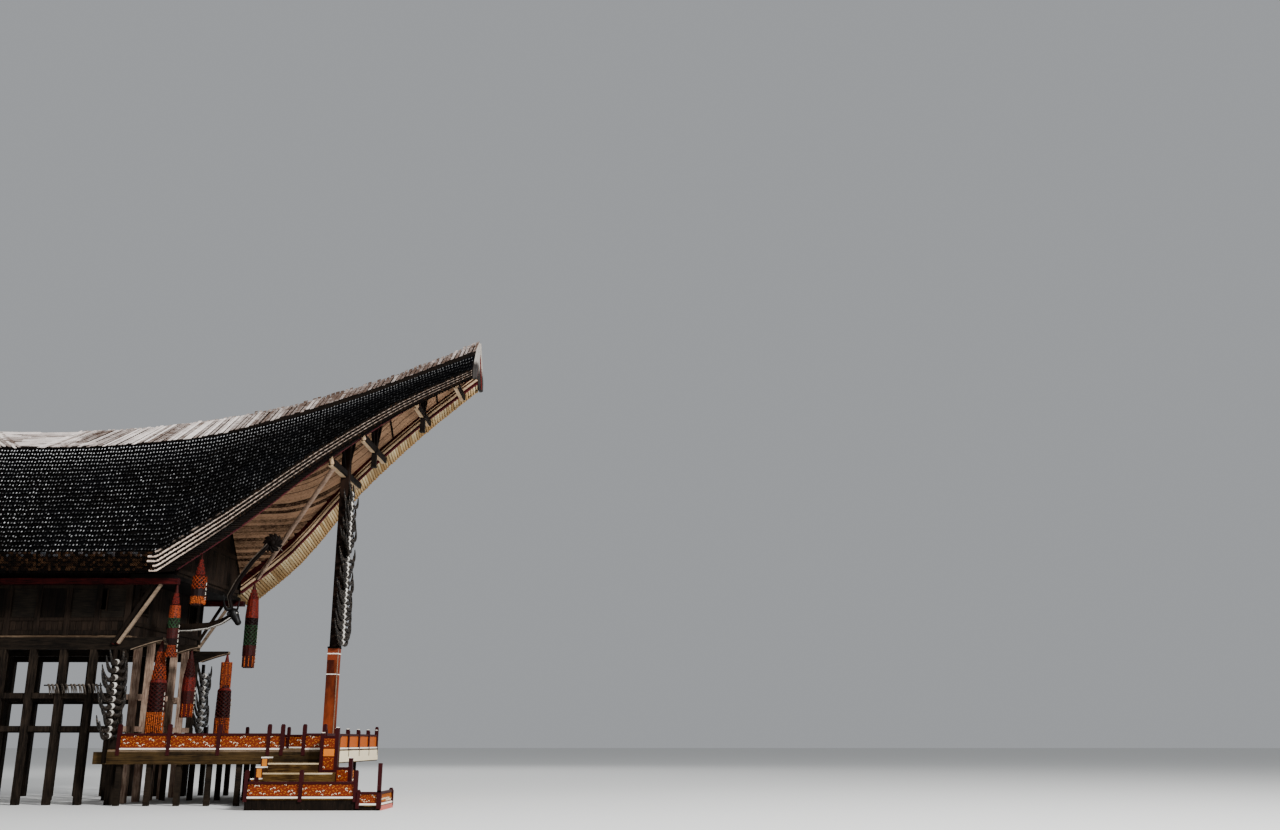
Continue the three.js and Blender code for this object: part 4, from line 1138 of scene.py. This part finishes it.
def bird(name):
    """The carved bird's curved neck with a ridge along it, its crest of curled feathers and its beak."""
    pile = Pile()
    bends = [at(x, 0, z) for x, z in ((4.915, 4.12), (4.83, 4.42), (5.0, 4.78), (5.3, 5.23), (5.64, 5.61))]
    path = []
    for a, b in zip(bends, bends[1:]):
        path.extend(a.lerp(b, i / 4) for i in range(4))
    path.append(bends[-1])
    pile.tube(path, [0.046] * len(path), 10, 0, 0.4)
    ridge = [p + at(-0.035, -0.028, 0.03) for p in path]
    pile.tube(ridge, [0.012] * len(ridge), 6, 1, 0.2)
    head = at(5.72, 0, 5.66)
    feathers = 11
    for k in range(feathers):
        turn = 2 * math.pi * k / feathers
        curl = []
        for i in range(6):
            share = i / 5
            angle = turn + 0.9 * share
            reach = mix(0.05, 0.225, share)
            wave = 0.02 * math.sin(3 * share)
            curl.append(head + at(reach * math.cos(angle), wave, reach * math.sin(angle)))
        pile.tube(curl, [0.045, 0.055, 0.055, 0.05, 0.036, 0.014], 7, 0, 0.3)
    pile.tube([head + at(0, -0.05, 0), head + at(0, 0.05, 0)], [0.075, 0.075], 12, 0, 0.6)
    beak = [head + at(x, 0, z) for x, z in ((0.04, -0.05), (0.14, -0.1), (0.245, -0.185))]
    pile.tube(beak, [0.036, 0.026, 0.008], 8, 1, 0.5)
    return pile.finish(name, [BLACK_TIMBER, WORN_CARVING], "dark_wood", ["long_necked_bird"], smooth=True)


# The slots of a rail's looks; the stair's and the landing's own looks follow them
PANEL, CURL, POST, WHITE_LINE, PLAIN_PANEL, OCHRE = range(6)
PANEL_THICK = 0.012
HALF_RAIL_POST = 0.035


def scroll(pile, centre, across, upwards, size, flip, slot):
    """A carved curl: a tapering spiral ribbon that stands out from its panel."""
    outwards = across.cross(upwards)
    steps = 8
    left = []
    right = []
    for i in range(steps + 1):
        share = i / steps
        turn = flip * (0.4 + 3.7 * share)
        reach = size * mix(1.0, 0.18, share)
        broad = size * mix(0.15, 0.28, share) * (1 - 0.5 * share)
        direction = across * math.cos(turn) * flip + upwards * math.sin(turn) * flip
        left.append(centre + direction * (reach - broad))
        right.append(centre + direction * (reach + broad))
    rings = []
    for a, b in zip(left, right):
        rings.append([a, b, b + outwards * 0.008, a + outwards * 0.008])
    pile.loft(rings, slot, 0.5)


def panel(pile, start, end, bottom, top, patterned):
    """An upright board between two points, plain or with rows of carved curls on both faces."""
    across = (end - start).normalized()
    upwards = at(0, 0, 1)
    outwards = across.cross(upwards)
    wide = (end - start).length
    corners = []
    for out in (-PANEL_THICK, PANEL_THICK):
        corners.append([
            start + outwards * out + upwards * bottom, end + outwards * out + upwards * bottom,
            end + outwards * out + upwards * top, start + outwards * out + upwards * top,
        ])
    pile.loft(corners, PANEL if patterned else PLAIN_PANEL, 0.5)
    if not patterned:
        return
    tall = top - bottom
    for face in (-1, 1):
        run = across * face
        first = start if face > 0 else end
        surface = first + (outwards * face) * PANEL_THICK
        size = tall * 0.125
        count = max(2, round(wide / (size * 2.3)))
        for row, level in enumerate((0.16, 0.38, 0.62, 0.85)):
            for i in range(count):
                height = level + 0.06 * math.sin(1.9 * i + 2.1 * row)
                share = (i + 0.5 + 0.3 * (row % 2)) / (count + 0.3)
                spot = surface + run * (wide * share) + upwards * (bottom + tall * height)
                wave = math.sin(9.1 * spot.x + 4.7 * spot.y + 2.3 * row) + math.sin(23 * spot.x + row)
                slot = CURL if wave > 1.3 - 0.75 * (row < 2) else OCHRE
                scroll(pile, spot, run, upwards, size * (0.8 + 0.12 * wave), 1 if (i + row) % 2 else -1, slot)


def railing(pile, start, end, posts, low, high, post_top, outwards=(0, 0), hang=0.0, plain=False):
    """A rail of panels between posts: maroon top rail and posts, and a white line along the foot."""
    along = (end - start).normalized()
    out = at(outwards[0], outwards[1], 0)
    crest = at(0, 0, high - 0.022)
    pile.bar(start + crest, end + crest, 0.066, 0.044, POST)
    foot = at(0, 0, low + 0.018)
    pile.bar(start + out * 0.006 + foot, end + out * 0.006 + foot, 0.07, 0.03, WHITE_LINE)
    for a, b in zip(posts, posts[1:]):
        patterned = not plain and b - a > 0.2
        panel(pile, start + along * a, start + along * b, low + 0.036, high - 0.044, patterned)
    half = HALF_RAIL_POST
    for place in posts:
        spot = start + along * place
        if hang:
            face = spot + out * (half + 0.006)
            across = abs(out.x) * 0.006, abs(out.y) * 0.006
            wide = half * abs(out.y) + across[0], half * abs(out.x) + across[1]
            pile.box((face.x - wide[0], face.x + wide[0]), (face.y - wide[1], face.y + wide[1]),
                     (low - hang, post_top - 0.03), POST)
        pile.box(around(spot.x, half), around(spot.y, half), (low, post_top), POST)
        cap = 0.026
        cap_z = (post_top, post_top + 0.016)
        pile.box(around(spot.x, cap), around(spot.y, cap), cap_z, WHITE_LINE if plain else POST)


def rail_piece(name, node, posts, outwards, hang, plain=False):
    """The detailed rail in the place of one rail's solid, along the longer side of the solid's box."""
    low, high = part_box(node)
    pile = Pile()
    if high[0] - low[0] > high[1] - low[1]:
        y = (low[1] + high[1]) / 2
        start = at(low[0] + 0.035, y, 0)
        end = at(high[0] - 0.035, y, 0)
    else:
        x = (low[0] + high[0]) / 2
        start = at(x, low[1], 0)
        end = at(x, high[1], 0)
    length = (end - start).length
    places = [0, *[p for p in posts if 0 < p < length], length]
    top = TERRACE_TOP + RAIL_HEIGHT
    railing(pile, start, end, places, TERRACE_TOP, top, high[2] - 0.016, outwards, hang, plain)
    return pile.finish(name, FRONT_RAIL_LOOKS if plain else RAIL_LOOKS, "orange_paint", [node], bevel=0.003)


def landing_boards(name, chance):
    """The landing and the entry step before the stair: recessed plinths painted dark as the shade under the
    boards, boards and low painted rails.
    """
    low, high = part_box("stair_landing")
    pile = Pile()
    front = low[1]
    left = low[0]
    back = front + 0.65
    entry_back = front + ENTRY_DEPTH
    inset = 0.025
    post = HALF_RAIL_POST
    shade_plinth, board, rose = 6, 7, 8
    # The plinths stand back under the boards and are near-black: painted shade beneath them
    plinth_x = (left + inset, LANDING_END - inset)
    pile.box(plinth_x, (front + inset, back - 0.004), (0, LANDING_TOP - 0.03), shade_plinth, 0.3)
    entry_x = (LANDING_END - inset, ENTRY_END - inset)
    pile.box(entry_x, (front + inset, entry_back - inset), (0, ENTRY_TOP - 0.02), shade_plinth, 0.5)
    for k in range(4):
        y = mix(front, back, k / 4)
        board_y = (y + 0.003, y + 0.65 / 4 - 0.003)
        pile.box((left, LANDING_END), board_y, (LANDING_TOP - 0.03, LANDING_TOP), board, chance.random())
    for k in range(3):
        x = mix(LANDING_END, ENTRY_END, k / 3)
        wide = (ENTRY_END - LANDING_END) / 3
        board_x = (x + 0.003, x + wide - 0.003)
        pile.box(board_x, (front, entry_back), (ENTRY_TOP - 0.02, ENTRY_TOP), board, chance.random())
    y = front + post
    rail_low = LANDING_TOP - 0.005
    start = at(left + post, y, 0)
    end = at(LANDING_END - post, y, 0)
    length = (end - start).length
    hang = 0.06
    rail_high = rail_low + 0.3
    railing(pile, start, end, [0, length / 2, length], rail_low, rail_high, rail_low + 0.494, (0, -1), hang)
    corner = at(left + post, back - post, 0)
    railing(pile, corner, start, [0, (corner - start).length], rail_low, rail_high, rail_low + 0.35)
    entry_low = ENTRY_TOP - 0.005
    start = at(LANDING_END + 0.02, y, 0)
    end = at(ENTRY_END - post, y, 0)
    entry_high = entry_low + 0.24
    entry_post = entry_low + 0.26
    railing(pile, start, end, [0, (end - start).length], entry_low, entry_high, entry_post, (0, -1), hang)
    far = at(ENTRY_END - post, entry_back - post, 0)
    railing(pile, end, far, [0, (far - end).length], entry_low, entry_high, entry_post, (1, 0), hang)
    pile.box(around(end.x, post), around(end.y, post), (entry_low, high[2]), POST)
    face = ENTRY_END + 0.006
    pile.box(around(face, 0.004), (front + 0.02, entry_back - 0.02), (0.0, entry_low - 0.01), rose, 0.5)
    looks = [*RAIL_LOOKS, DARK_TIMBER, TREAD, ROSE_PAINT]
    return pile.finish(name, looks, "orange_paint", ["stair_landing"], bevel=0.003)


def frame_wall(name, side, chance):
    """Posts, rails, planks and smooth panels on one long wall."""
    pile = Pile()
    y = side * WALL_OUTSIDE
    out = side * 0.045
    pitch = 2 * HALF_BODY / (SIDE_PILLARS - 1)
    thin = sorted((y, y + out * 0.35))
    middle_rail = 3.68
    top_rail = 4.36
    panel_foot = 3.75
    for i in range(SIDE_PILLARS):
        x = -HALF_BODY + i * pitch
        pile.box(around(x, 0.06), sorted((y, y + out)), (FLOOR_TOP, EAVE_BEAM_BOTTOM), 1, chance.random())
    for z, tall in ((FLOOR_TOP + 0.01, 0.09), (middle_rail, 0.07), (top_rail, 0.07)):
        length = [-HALF_BODY - 0.02, HALF_BODY + 0.02]
        pile.box(length, sorted((y, y + out * 0.8)), (z, z + tall), 1, chance.random())
    for i in range(SIDE_PILLARS - 1):
        left = -HALF_BODY + i * pitch + 0.06
        right = left + pitch - 0.12
        window = next((w for w in SLOT_WINDOWS if w[0] < right and w[1] > left), None)
        boards = 4
        for k in range(boards):
            a = mix(left, right, k / boards) + 0.004
            b = mix(left, right, (k + 1) / boards) - 0.004
            pile.box((a, b), sorted((y, y + out * 0.4)), (FLOOR_TOP + 0.1, middle_rail), 1, chance.random())
        if window:
            for a, b in ((left, window[0]), (window[1], right)):
                if b - a > 0.03:
                    pile.box((a, b), thin, (panel_foot, top_rail), 2, chance.random())
            for a, b in ((window[0] - 0.03, window[0]), (window[1], window[1] + 0.03)):
                pile.box((a, b), sorted((y, y + out * 0.9)), (3.88, 4.34), 1, chance.random())
            pile.box(window, thin, (panel_foot, 3.92), 2, chance.random())
        else:
            pile.box((left, right), thin, (panel_foot, top_rail), 2 if i % 2 else 0, chance.random())
    return pile.finish(name, [PLANKS_Z, POST_TIMBER, SMOOTH_PANEL], "dark_wood", bevel=0.004)


def struts(name, side, chance):
    """The slanting struts under both ends of the eave beam: the outer one pale, the inner one dark."""
    pile = Pile()
    y = side * (HALF_WIDTH + 0.1)
    for end in (-1, 1):
        for slot, (top, foot) in enumerate(STRUTS):
            high = at(end * top, y, EAVE_BEAM_BOTTOM + 0.03)
            low = at(end * foot, y, FLOOR_BEAM_BOTTOM + 0.11)
            pile.bar(mix(high, low, 0.02), mix(high, low, 0.99), 0.066, 0.061, slot, chance.random())
    return pile.finish(name, [PALE_STRUT, DARK_TIMBER], "red_paint", bevel=0.004)


def beam_tip_edges(name, y):
    """Thin pale edges along the risen tips of one floor beam."""
    pile = Pile()
    start = FLOOR_BEAM_TIP - 0.65
    first = at(start, 0, FLOOR_BEAM_BOTTOM)
    bend = at(FLOOR_BEAM_TIP - 0.15, 0, FLOOR_BEAM_TOP - 0.07)
    last = at(FLOOR_BEAM_TIP, 0, FLOOR_BEAM_TOP - 0.06)
    curve = [first * (1 - t) ** 2 + bend * 2 * t * (1 - t) + last * t ** 2 for t in [i / 8 for i in range(9)]]
    for end in (-1, 1):
        for side in (-1, 1):
            path = [at(end * p.x, y + side * 0.07, p.z) for p in curve]
            pile.tube(path, [0.011] * len(path), 6, 0, 0.5)
        face = sorted((end * FLOOR_BEAM_TIP, end * (FLOOR_BEAM_TIP + 0.01)))
        pile.box(face, around(y, 0.066), (FLOOR_BEAM_TOP - 0.058, FLOOR_BEAM_TOP - 0.004), 0, 0.5)
    return pile.finish(name, [PALE_STRUT], "grey_wood")


def end_wall_boards(name, direction, chance):
    """Upright planks on one end wall, with a frame and bars at each small window."""
    pile = Pile()
    x = direction * (HALF_BODY + 0.03)
    half = 1.98
    top = 4.55
    width = 0.15
    for i in range(int(2 * half / width)):
        a = -half + i * width
        b = a + width - 0.006
        blocked = any(w[0] < b and w[1] > a for w in END_WINDOWS)
        deep = sorted((x, x + direction * chance.uniform(0.016, 0.026)))
        parts = [(FLOOR_TOP, 3.86), (4.39, top)] if blocked else [(FLOOR_TOP, top)]
        for low, high in parts:
            pile.box(deep, (a, b), (low, high), 0, chance.random())
    for left, right in END_WINDOWS:
        for y in ((left - 0.05, left), (right, right + 0.05)):
            pile.box(sorted((x, x + direction * 0.045)), y, (3.85, 4.4), 1, chance.random())
        for z in ((3.85, END_WINDOW_SILL), (END_WINDOW_TOP, 4.4)):
            pile.box(sorted((x, x + direction * 0.05)), (left - 0.06, right + 0.06), z, 1, chance.random())
        for k in range(1, 4):
            y = mix(left, right, k / 4)
            deep = sorted((x - direction * 0.03, x))
            pile.box(deep, around(y, 0.012), (END_WINDOW_SILL, END_WINDOW_TOP), 1, 0.3)
    pile.box(sorted((x, x + direction * 0.05)), (-half, half), (3.6, 3.68), 1, 0.6)
    return pile.finish(name, [POST_TIMBER, DARK_TIMBER], "dark_wood", bevel=0.003)


def gable_boards(name, direction, chance):
    """Upright planks on the gable, with a rail across them."""
    pile = Pile()
    section = Section(GABLE_X)
    width = 0.13
    half = 1.98
    for i in range(int(2 * half / width)):
        a = -half + i * width
        b = a + width - 0.008
        top = section.apex - section.slope * max(abs(a), abs(b)) - 0.05
        if top < SILL_TOP + 0.1:
            continue
        deep = sorted((direction * GABLE_X, direction * (GABLE_X + chance.uniform(0.012, 0.022))))
        pile.box(deep, (a, b), (SILL_TOP, top), 0, chance.random())
    for z in (4.72, 5.5, 6.3):
        reach = min(half, (section.apex - z) / section.slope - 0.12)
        deep = sorted((direction * GABLE_X, direction * (GABLE_X + 0.05)))
        pile.box(deep, (-reach, reach), (z, z + 0.09), 0, 0.8)
    return pile.finish(name, [POST_TIMBER], "dark_wood", bevel=0.003)


def jawbones(name, chance):
    """A row of bleached jawbones on a rail between the pillars of the near side."""
    pile = Pile()
    y = -HALF_WIDTH - 0.09
    top = 2.36
    pile.tube([at(1.9, y, top), at(3.1, y, top)], [0.014, 0.014], 6, 1, 0.4)
    for i in range(12):
        x = 1.98 + i * 0.092 + chance.uniform(-0.02, 0.02)
        size = chance.uniform(0.75, 1.15)
        for lean in (-1, 1):
            path = []
            for k in range(6):
                share = k / 5
                path.append(at(
                    x + 0.02 * lean + 0.07 * size * share, y - 0.015 - 0.035 * lean * (1 - share) - 0.01,
                    top + 0.02 + size * (-0.19 * share + 0.05 * math.sin(share * 3.0)),
                ))
            pile.tube(path, [0.016, 0.018, 0.015, 0.013, 0.012, 0.007], 6, 0, chance.random())
    return pile.finish(name, [WORN_CARVING, DARK_TIMBER], "horn", smooth=True)


def post_bands(name, direction):
    """The painted collar above the shoulder of the prow's post, its rings, and a pale strip below them along
    one edge: a painted highlight where light catches that edge.
    """
    pile = Pile()
    x = direction * POST_X
    for z, half, tall, slot in ((3.13, 0.128, 0.025, 0), (2.68, 0.124, 0.02, 0), (3.0, 0.122, 0.26, 2),
                                (3.26, 0.13, 0.04, 3)):
        pile.box(around(x, half), (-half, half), (z, z + tall), slot, 0.5)
    # A pale strip down the post's edge: a painted highlight
    corner = direction * (POST_X + 0.118)
    pile.box(around(corner, 0.008), (-0.126, -0.098), (TERRACE_TOP, 3.24), 1, 0.5)
    looks = [WHITE_PAINT, PALE_STRUT, COLLAR_PAINT, DARK_TIMBER]
    return pile.finish(name, looks, "orange_paint", bevel=0.004)


def stair_boards(name, chance):
    """Worn treads with pale nosings, planked risers, stepped cheeks and the parapet's painted panels."""
    pile = Pile()
    low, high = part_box("terrace_stair")
    tops = [0.82, 0.64, 0.43]
    floors = [0.64, 0.43, LANDING_TOP]
    left = 6.85
    tread, nosing = 6, 7
    back = high[1]
    depth = (high[1] - low[1]) / 3
    for i, top in enumerate(tops):
        right = 7.85 if i == 0 else 8.2
        y = back - depth * (i + 1)
        pile.box((left, right), (y - 0.018, y + 0.04), (top - 0.018, top + 0.012), nosing, chance.random())
        for k in range(2):
            a = mix(y + 0.045, y + depth, k / 2)
            b = mix(y + 0.045, y + depth, (k + 1) / 2) - 0.008
            pile.box((left, right), (a, b), (top, top + 0.01), tread, chance.random())
        pile.box((left, right), (y - 0.008, y), (floors[i], top - 0.02), tread, chance.random())
        cheek = top + 0.11
        pile.box((left - 0.125, left - 0.005), (y - 0.01, y), (floors[i] - 0.1, cheek - 0.02), OCHRE, 0.5)
        line = (cheek - 0.006, cheek + 0.016)
        pile.box((left - 0.14, left + 0.004), (y - 0.02, y + depth - 0.02), line, WHITE_LINE, 0.5)
        for x in (left - 0.135, left - 0.012):
            pile.box((x - 0.008, x + 0.014), (y - 0.016, y - 0.002), (floors[i] - 0.1, cheek), POST, 0.5)
    face = back - depth - 0.014
    for a, b, bottom, top, patterned in (
        (7.93, 8.15, 1.12, 1.3, True), (7.93, 8.15, 0.96, 1.1, False), (7.93, 8.15, 0.7, 0.94, True),
        (8.22, 8.44, 0.47, 0.7, True), (8.22, 8.44, 0.22, 0.45, False),
    ):
        panel(pile, at(a, face, 0), at(b, face, 0), bottom, top, patterned)
    side = 8.474
    for bottom, top in ((0.47, 0.7), (0.22, 0.45)):
        panel(pile, at(side, face + 0.06, 0), at(side, back - 0.02, 0), bottom, top, bottom > 0.4)
    for a, b, top in ((7.86, 8.2, 1.32), (8.2, 8.47, 0.72)):
        pile.box((a, b), (face - 0.01, back), (top, top + 0.03), POST, 0.5)
        pile.box((a, b), (face - 0.004, face + 0.01), (0.0, top), POST, 0.5)
    for x, top in ((7.9, 1.4), (8.18, 1.5), (8.48, 0.92)):
        pile.box(around(x, 0.037), (face - 0.012, face + 0.08), (0, top + 0.004), POST, 0.5)
        pile.box(around(x, 0.026), (face, face + 0.06), (top, top + 0.02), WHITE_LINE, 0.5)
    return pile.finish(name, [*RAIL_LOOKS, TREAD, NOSING], "orange_paint", bevel=0.003)


def front_fascia(name):
    """Cream boards on the front edge of the terrace."""
    pile = Pile()
    low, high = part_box("terrace_deck")
    x = high[0]
    for k in range(5):
        a = mix(low[1], high[1], k / 5)
        b = mix(low[1], high[1], (k + 1) / 5) - 0.01
        pile.box((x, x + 0.012), (a, b), (0.82, 1.05), 0, 0.5)
    return pile.finish(name, [CREAM_PAINT], "orange_paint", bevel=0.003)


def floor_planks(name, chance):
    """Boards of the terrace with gaps between them."""
    pile = Pile()
    low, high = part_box("terrace_deck")
    width = 0.16
    count = int((high[1] - low[1]) / width)
    for i in range(count):
        y = low[1] + i * width
        if abs(y + width / 2) < 0.2:
            parts = [(low[0] + 0.01, POST_X - 0.13), (POST_X + 0.13, high[0] - 0.01)]
        else:
            parts = [(low[0] + 0.01, high[0] - 0.01)]
        for a, b in parts:
            board_y = (y + 0.004, y + width - 0.004)
            pile.box((a, b), board_y, (high[2] - 0.002, high[2] + 0.006), 0, chance.random())
    return pile.finish(name, [TREAD], "grey_wood")


CAMERA_PLACE = (14.2, -27.5, 1.25)
CAMERA_PITCH = 15.2
LENS = 33.75
SENSOR = 36


def camera():
    """The photograph's viewpoint: low, in front of the house and to the right of it."""
    data = bpy.data.cameras.new("camera")
    data.sensor_width = SENSOR
    data.lens = LENS
    data.clip_end = 500
    view = bpy.data.objects.new("camera", data)
    view.location = CAMERA_PLACE
    view.rotation_euler = (math.radians(90 + CAMERA_PITCH), 0, 0)
    bpy.context.scene.collection.objects.link(view)
    bpy.context.scene.camera = view


def lights():
    world = bpy.data.worlds.new("studio")
    world.use_nodes = True
    background = world.node_tree.nodes["Background"]
    background.inputs["Color"].default_value = (0.86, 0.89, 0.93, 1)
    background.inputs["Strength"].default_value = 0.42
    bpy.context.scene.world = world
    for name, place, size, power in (
        ("key", (30, -24, 22), 5, 22000),
        ("fill", (-22, -24, 16), 14, 1600),
        ("back", (4, 30, 22), 14, 2600),
    ):
        data = bpy.data.lights.new(name, "AREA")
        data.size = size
        data.energy = power
        light = bpy.data.objects.new(name, data)
        light.location = place
        aim = at(3, 0, 4) - Vector(place)
        light.rotation_euler = aim.to_track_quat("-Z", "Y").to_euler()
        bpy.context.scene.collection.objects.link(light)


def floor():
    mesh = bpy.data.meshes.new("studio_floor")
    reach = 200
    corners = [(-reach, -reach, 0), (reach, -reach, 0), (reach, reach, 0), (-reach, reach, 0)]
    mesh.from_pydata(corners, [], [(0, 1, 2, 3)])
    look = Look("studio_floor", 0.9)
    look.shader.inputs["Base Color"].default_value = (0.78, 0.78, 0.76, 1)
    mesh.materials.append(look.material)
    piece = bpy.data.objects.new("studio_floor", mesh)
    bpy.context.scene.collection.objects.link(piece)


camera()
lights()
floor()

TILE_LOOK = tile_look()
# The eave's tubes are darker than weathered bamboo alone: part of their darkness is painted shade under the
# eave
TUBE_LOOK = tube_look("smoked_and_shaded_tubes", "090605", "4a3220")
# One underside of tubes in two colours: golden as painted sunlight on the far side, near-black as painted
# shade on the near side
SUNLIT_TUBES = tube_look("golden_tubes_in_painted_sun", "8e6a3e", "fff0c4")
SHADED_TUBES = tube_look("shaded_tubes", "080504", "2e1e14")
BEADS = bead_look()
HORN = horn_look("weathered_horn", "1a1410", "060504", "a09080")
BLACK_HORN = horn_look("black_horn", "080606", "040303", "1c1815")
BONE = timber("bleached_bone", "8a847c", "f0ece4", "Z", None, 0.6)
CANE = cane_look()
PALE_BATTEN = timber("pale_battens", "8a6a4c", "e4c9a4", "X", None, 0.6)
POLE = timber("bamboo_poles", "6e584a", "ccae98", "X", None, 0.5)
STRIP_LOOK = timber("bleached_bamboo_strips", "5c4a40", "fff2ea", "X", None, 0.75, 1.0)
SOFFIT_LOOK = timber("smoked_split_bamboo", "24160e", "bc9474", "X", None, 0.7, 0.9)
BLACK_TIMBER = timber("black_beams", "060404", "18110d", "Y", None, 0.6)
DARK_TIMBER = timber("smoked_timber_and_painted_shade", "0a0705", "221912", "Z")
POST_TIMBER = timber("weathered_posts", "0b0806", "2a2019", "Z")
SMOOTH_PANEL = timber("rubbed_panels", "0f0c0a", "2c251d", "X", None, 0.6)
PLANKS_Z = timber("dark_wall_planks", "080605", "1c1510", "Z", ("X", 0.16))
PLANKS_END = timber("dark_end_planks", "070504", "18120e", "Z", ("Y", 0.16))
GREY_BEAMS = timber("grey_beams", "0c0907", "2c231b", "X")
PALE_STRUT = timber("pale_struts", "4a3c30", "9a8570", "X", None, 0.6)
FASCIA_LOOK = terrace_look()
SHADED_PILLARS = timber("pillars_in_painted_shade", "0f0b08", "372d24", "Z")
FRONT_PILLARS = timber("bleached_pillars_in_painted_light", "5c463a", "cdb29c", "Z")
DECK_BOARDS = timber("deck_boards", "3a2d21", "85705a", "X", ("Y", 0.16))
TREAD = timber("worn_treads", "2c1c0c", "80602f", "X", None, 0.7, 0.7)
NOSING = timber("pale_nosings", "b39a72", "f0dfbf", "X", None, 0.6)
GREY_BOARD = end_board_look()
RED_TIMBER = timber("red_barge_boards", "1a0607", "5c1a1a", "X", None, 0.6)
SHADED_TRIM = painted("rose_trim_in_painted_shade", "5e2028", "300c10")
RED_PAINT = painted("dark_red_paint", "5b1410", "2a0c09")
ROSE_PAINT = painted("rose_paint", "c46a5c", "8e4038")
ORANGE_PAINT = painted("orange_paint", "74280a", "301006")
COLLAR_PAINT = painted("red_brown_paint", "7a3218", "34120a")
# A darker copy of the yellow paint for the front rail's plain panels, which face the strongest light: painted
# shade
SHADED_YELLOW_PAINT = painted("amber_yellow_in_painted_shade", "b4560e", "8a3a08")
YELLOW_PAINT = painted("yellow_paint", "dc7a20", "b0520f")
CREAM_PAINT = painted("cream_paint", "f4e6c4", "d2ae7a", 0.5, 0.66)
WHITE_PAINT = painted("white_paint", "f6f1e6", "c8b69a", 0.5, 0.68)
MAROON_PAINT = painted("maroon_paint", "32080a", "180405")
OCHRE_PAINT = painted("ochre_paint", "c87a28", "8a4c14")
WORN_CARVING = timber("worn_carving", "2c2620", "6c6258", "X", None, 0.6)
POST_LOOK = post_look()
RAIL_LOOKS = [ORANGE_PAINT, CREAM_PAINT, MAROON_PAINT, WHITE_PAINT, YELLOW_PAINT, OCHRE_PAINT]
FRONT_RAIL_LOOKS = [ORANGE_PAINT, CREAM_PAINT, MAROON_PAINT, WHITE_PAINT, SHADED_YELLOW_PAINT, OCHRE_PAINT]


def dress(nodes, material):
    """Gives solids that stay in view their material."""
    for node in nodes:
        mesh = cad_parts[node].data
        mesh.materials.clear()
        mesh.materials.append(material)


# The pillars under the house are painted near-black as shade; the front pillars are the same timber painted
# pale as lit, and also bleached
dress(["near_side_pillars", "far_side_pillars", "back_pillars", "middle_pillars"], SHADED_PILLARS)
dress(["front_pillars"], FRONT_PILLARS)
dress(["near_floor_beam", "far_floor_beam", "middle_floor_beam"], GREY_BEAMS)
dress(["floor_deck", "terrace_deck"], DECK_BOARDS)
dress(["near_upper_wall", "far_upper_wall"], PLANKS_Z)
dress(["front_upper_wall", "back_upper_wall", "front_gable", "back_gable"], PLANKS_END)
dress(["near_eave_beam", "far_eave_beam", "front_prow_frame", "back_prow_frame"], RED_TIMBER)
# The roof's solids and the ridge cover are near-black, so the gaps between tiles and between strips read as
# painted shade, and the cover's bare lower edge at the prows as tiles in shadow
dress(["near_roof_slope", "far_roof_slope", "ridge_cover"], DARK_TIMBER)
dress(["front_end_board", "back_end_board"], GREY_BOARD)
dress(["front_prow_post", "back_prow_post"], POST_LOOK)
dress(["terrace_frame"], FASCIA_LOOK)
dress(["terrace_stair", "stair_landing"], TREAD)

chance = random.Random(7)
tiles("near_tiles", -1, chance)
tiles("far_tiles", 1, chance)
for side, direction in (("near", -1), ("far", 1)):
    edge_tubes(side + "_edge_tubes", direction, chance)
    # The near underside takes the painted shade and the far one the painted sunlight
    underside = SHADED_TUBES if direction < 0 else SUNLIT_TUBES
    underside_tubes(side + "_underside_tubes", direction, underside, chance)
    verge_poles(side + "_verge_canes", direction, chance)
strips("ridge_strips", chance)
for end, direction in (("front", 1), ("back", -1)):
    soffit(end + "_soffit", direction, chance)
    barge_trim(end + "_barge_trim", direction)
    prow_timbers(end + "_prow_timbers", direction)
    end_boards(end + "_end_layers", direction)
    gable_boards(end + "_gable_planks", direction, chance)
    end_wall_boards(end + "_wall_planks", direction, chance)
    post_bands(end + "_post_bands", direction)
beam_tip_edges("middle_beam_edges", 0)
horn_stack("post_horns", "front_horn_stack", 0, 3.3, 7.05, 0.42, 30, chance)
for side, direction in (("near", -1), ("far", 1)):
    frame_wall(side + "_wall_framing", direction, chance)
    struts(side + "_struts", direction, chance)
    beam_tip_edges(side + "_beam_edges", direction * HALF_WIDTH)
    horn_stack(side + "_wall_horns", side + "_corner_horns", direction * 2.5603, 1.25, 3.06, 0.44, 11, chance)
hanging("near_eave_beads", "near_eave_hanging", EAVE_BANDS, chance)
hanging("near_verge_beads", "near_verge_hanging", NEAR_VERGE_BANDS, chance)
hanging("far_verge_beads", "far_verge_hanging", FAR_VERGE_BANDS, chance)
hanging("near_beam_beads", "near_beam_hanging", NEAR_BEAM_BANDS, chance)
hanging("middle_beam_beads", "middle_beam_hanging", MIDDLE_BEAM_BANDS, chance)
hanging("far_beam_beads", "far_beam_hanging", FAR_BEAM_BANDS, chance)
buffalo("carved_buffalo")
bird("carved_bird")
jawbones("near_jawbones", chance)
rail_piece("near_long_panels", "near_rail_long", [1.005, 2.01, 3.015], (0, -1), 0.11)
rail_piece("near_short_panels", "near_rail_short", [], (0, -1), 0.11)
rail_piece("far_panels", "far_rail", [1.005, 2.01, 3.015], (0, 1), 0.11)
rail_piece("front_panels", "front_rail", [0.9225, 1.9275, 2.9325, 3.9375], (1, 0), 0.16, True)
stair_boards("stair_boards", chance)
landing_boards("landing_boards", chance)
front_fascia("front_fascia")
floor_planks("terrace_boards", chance)
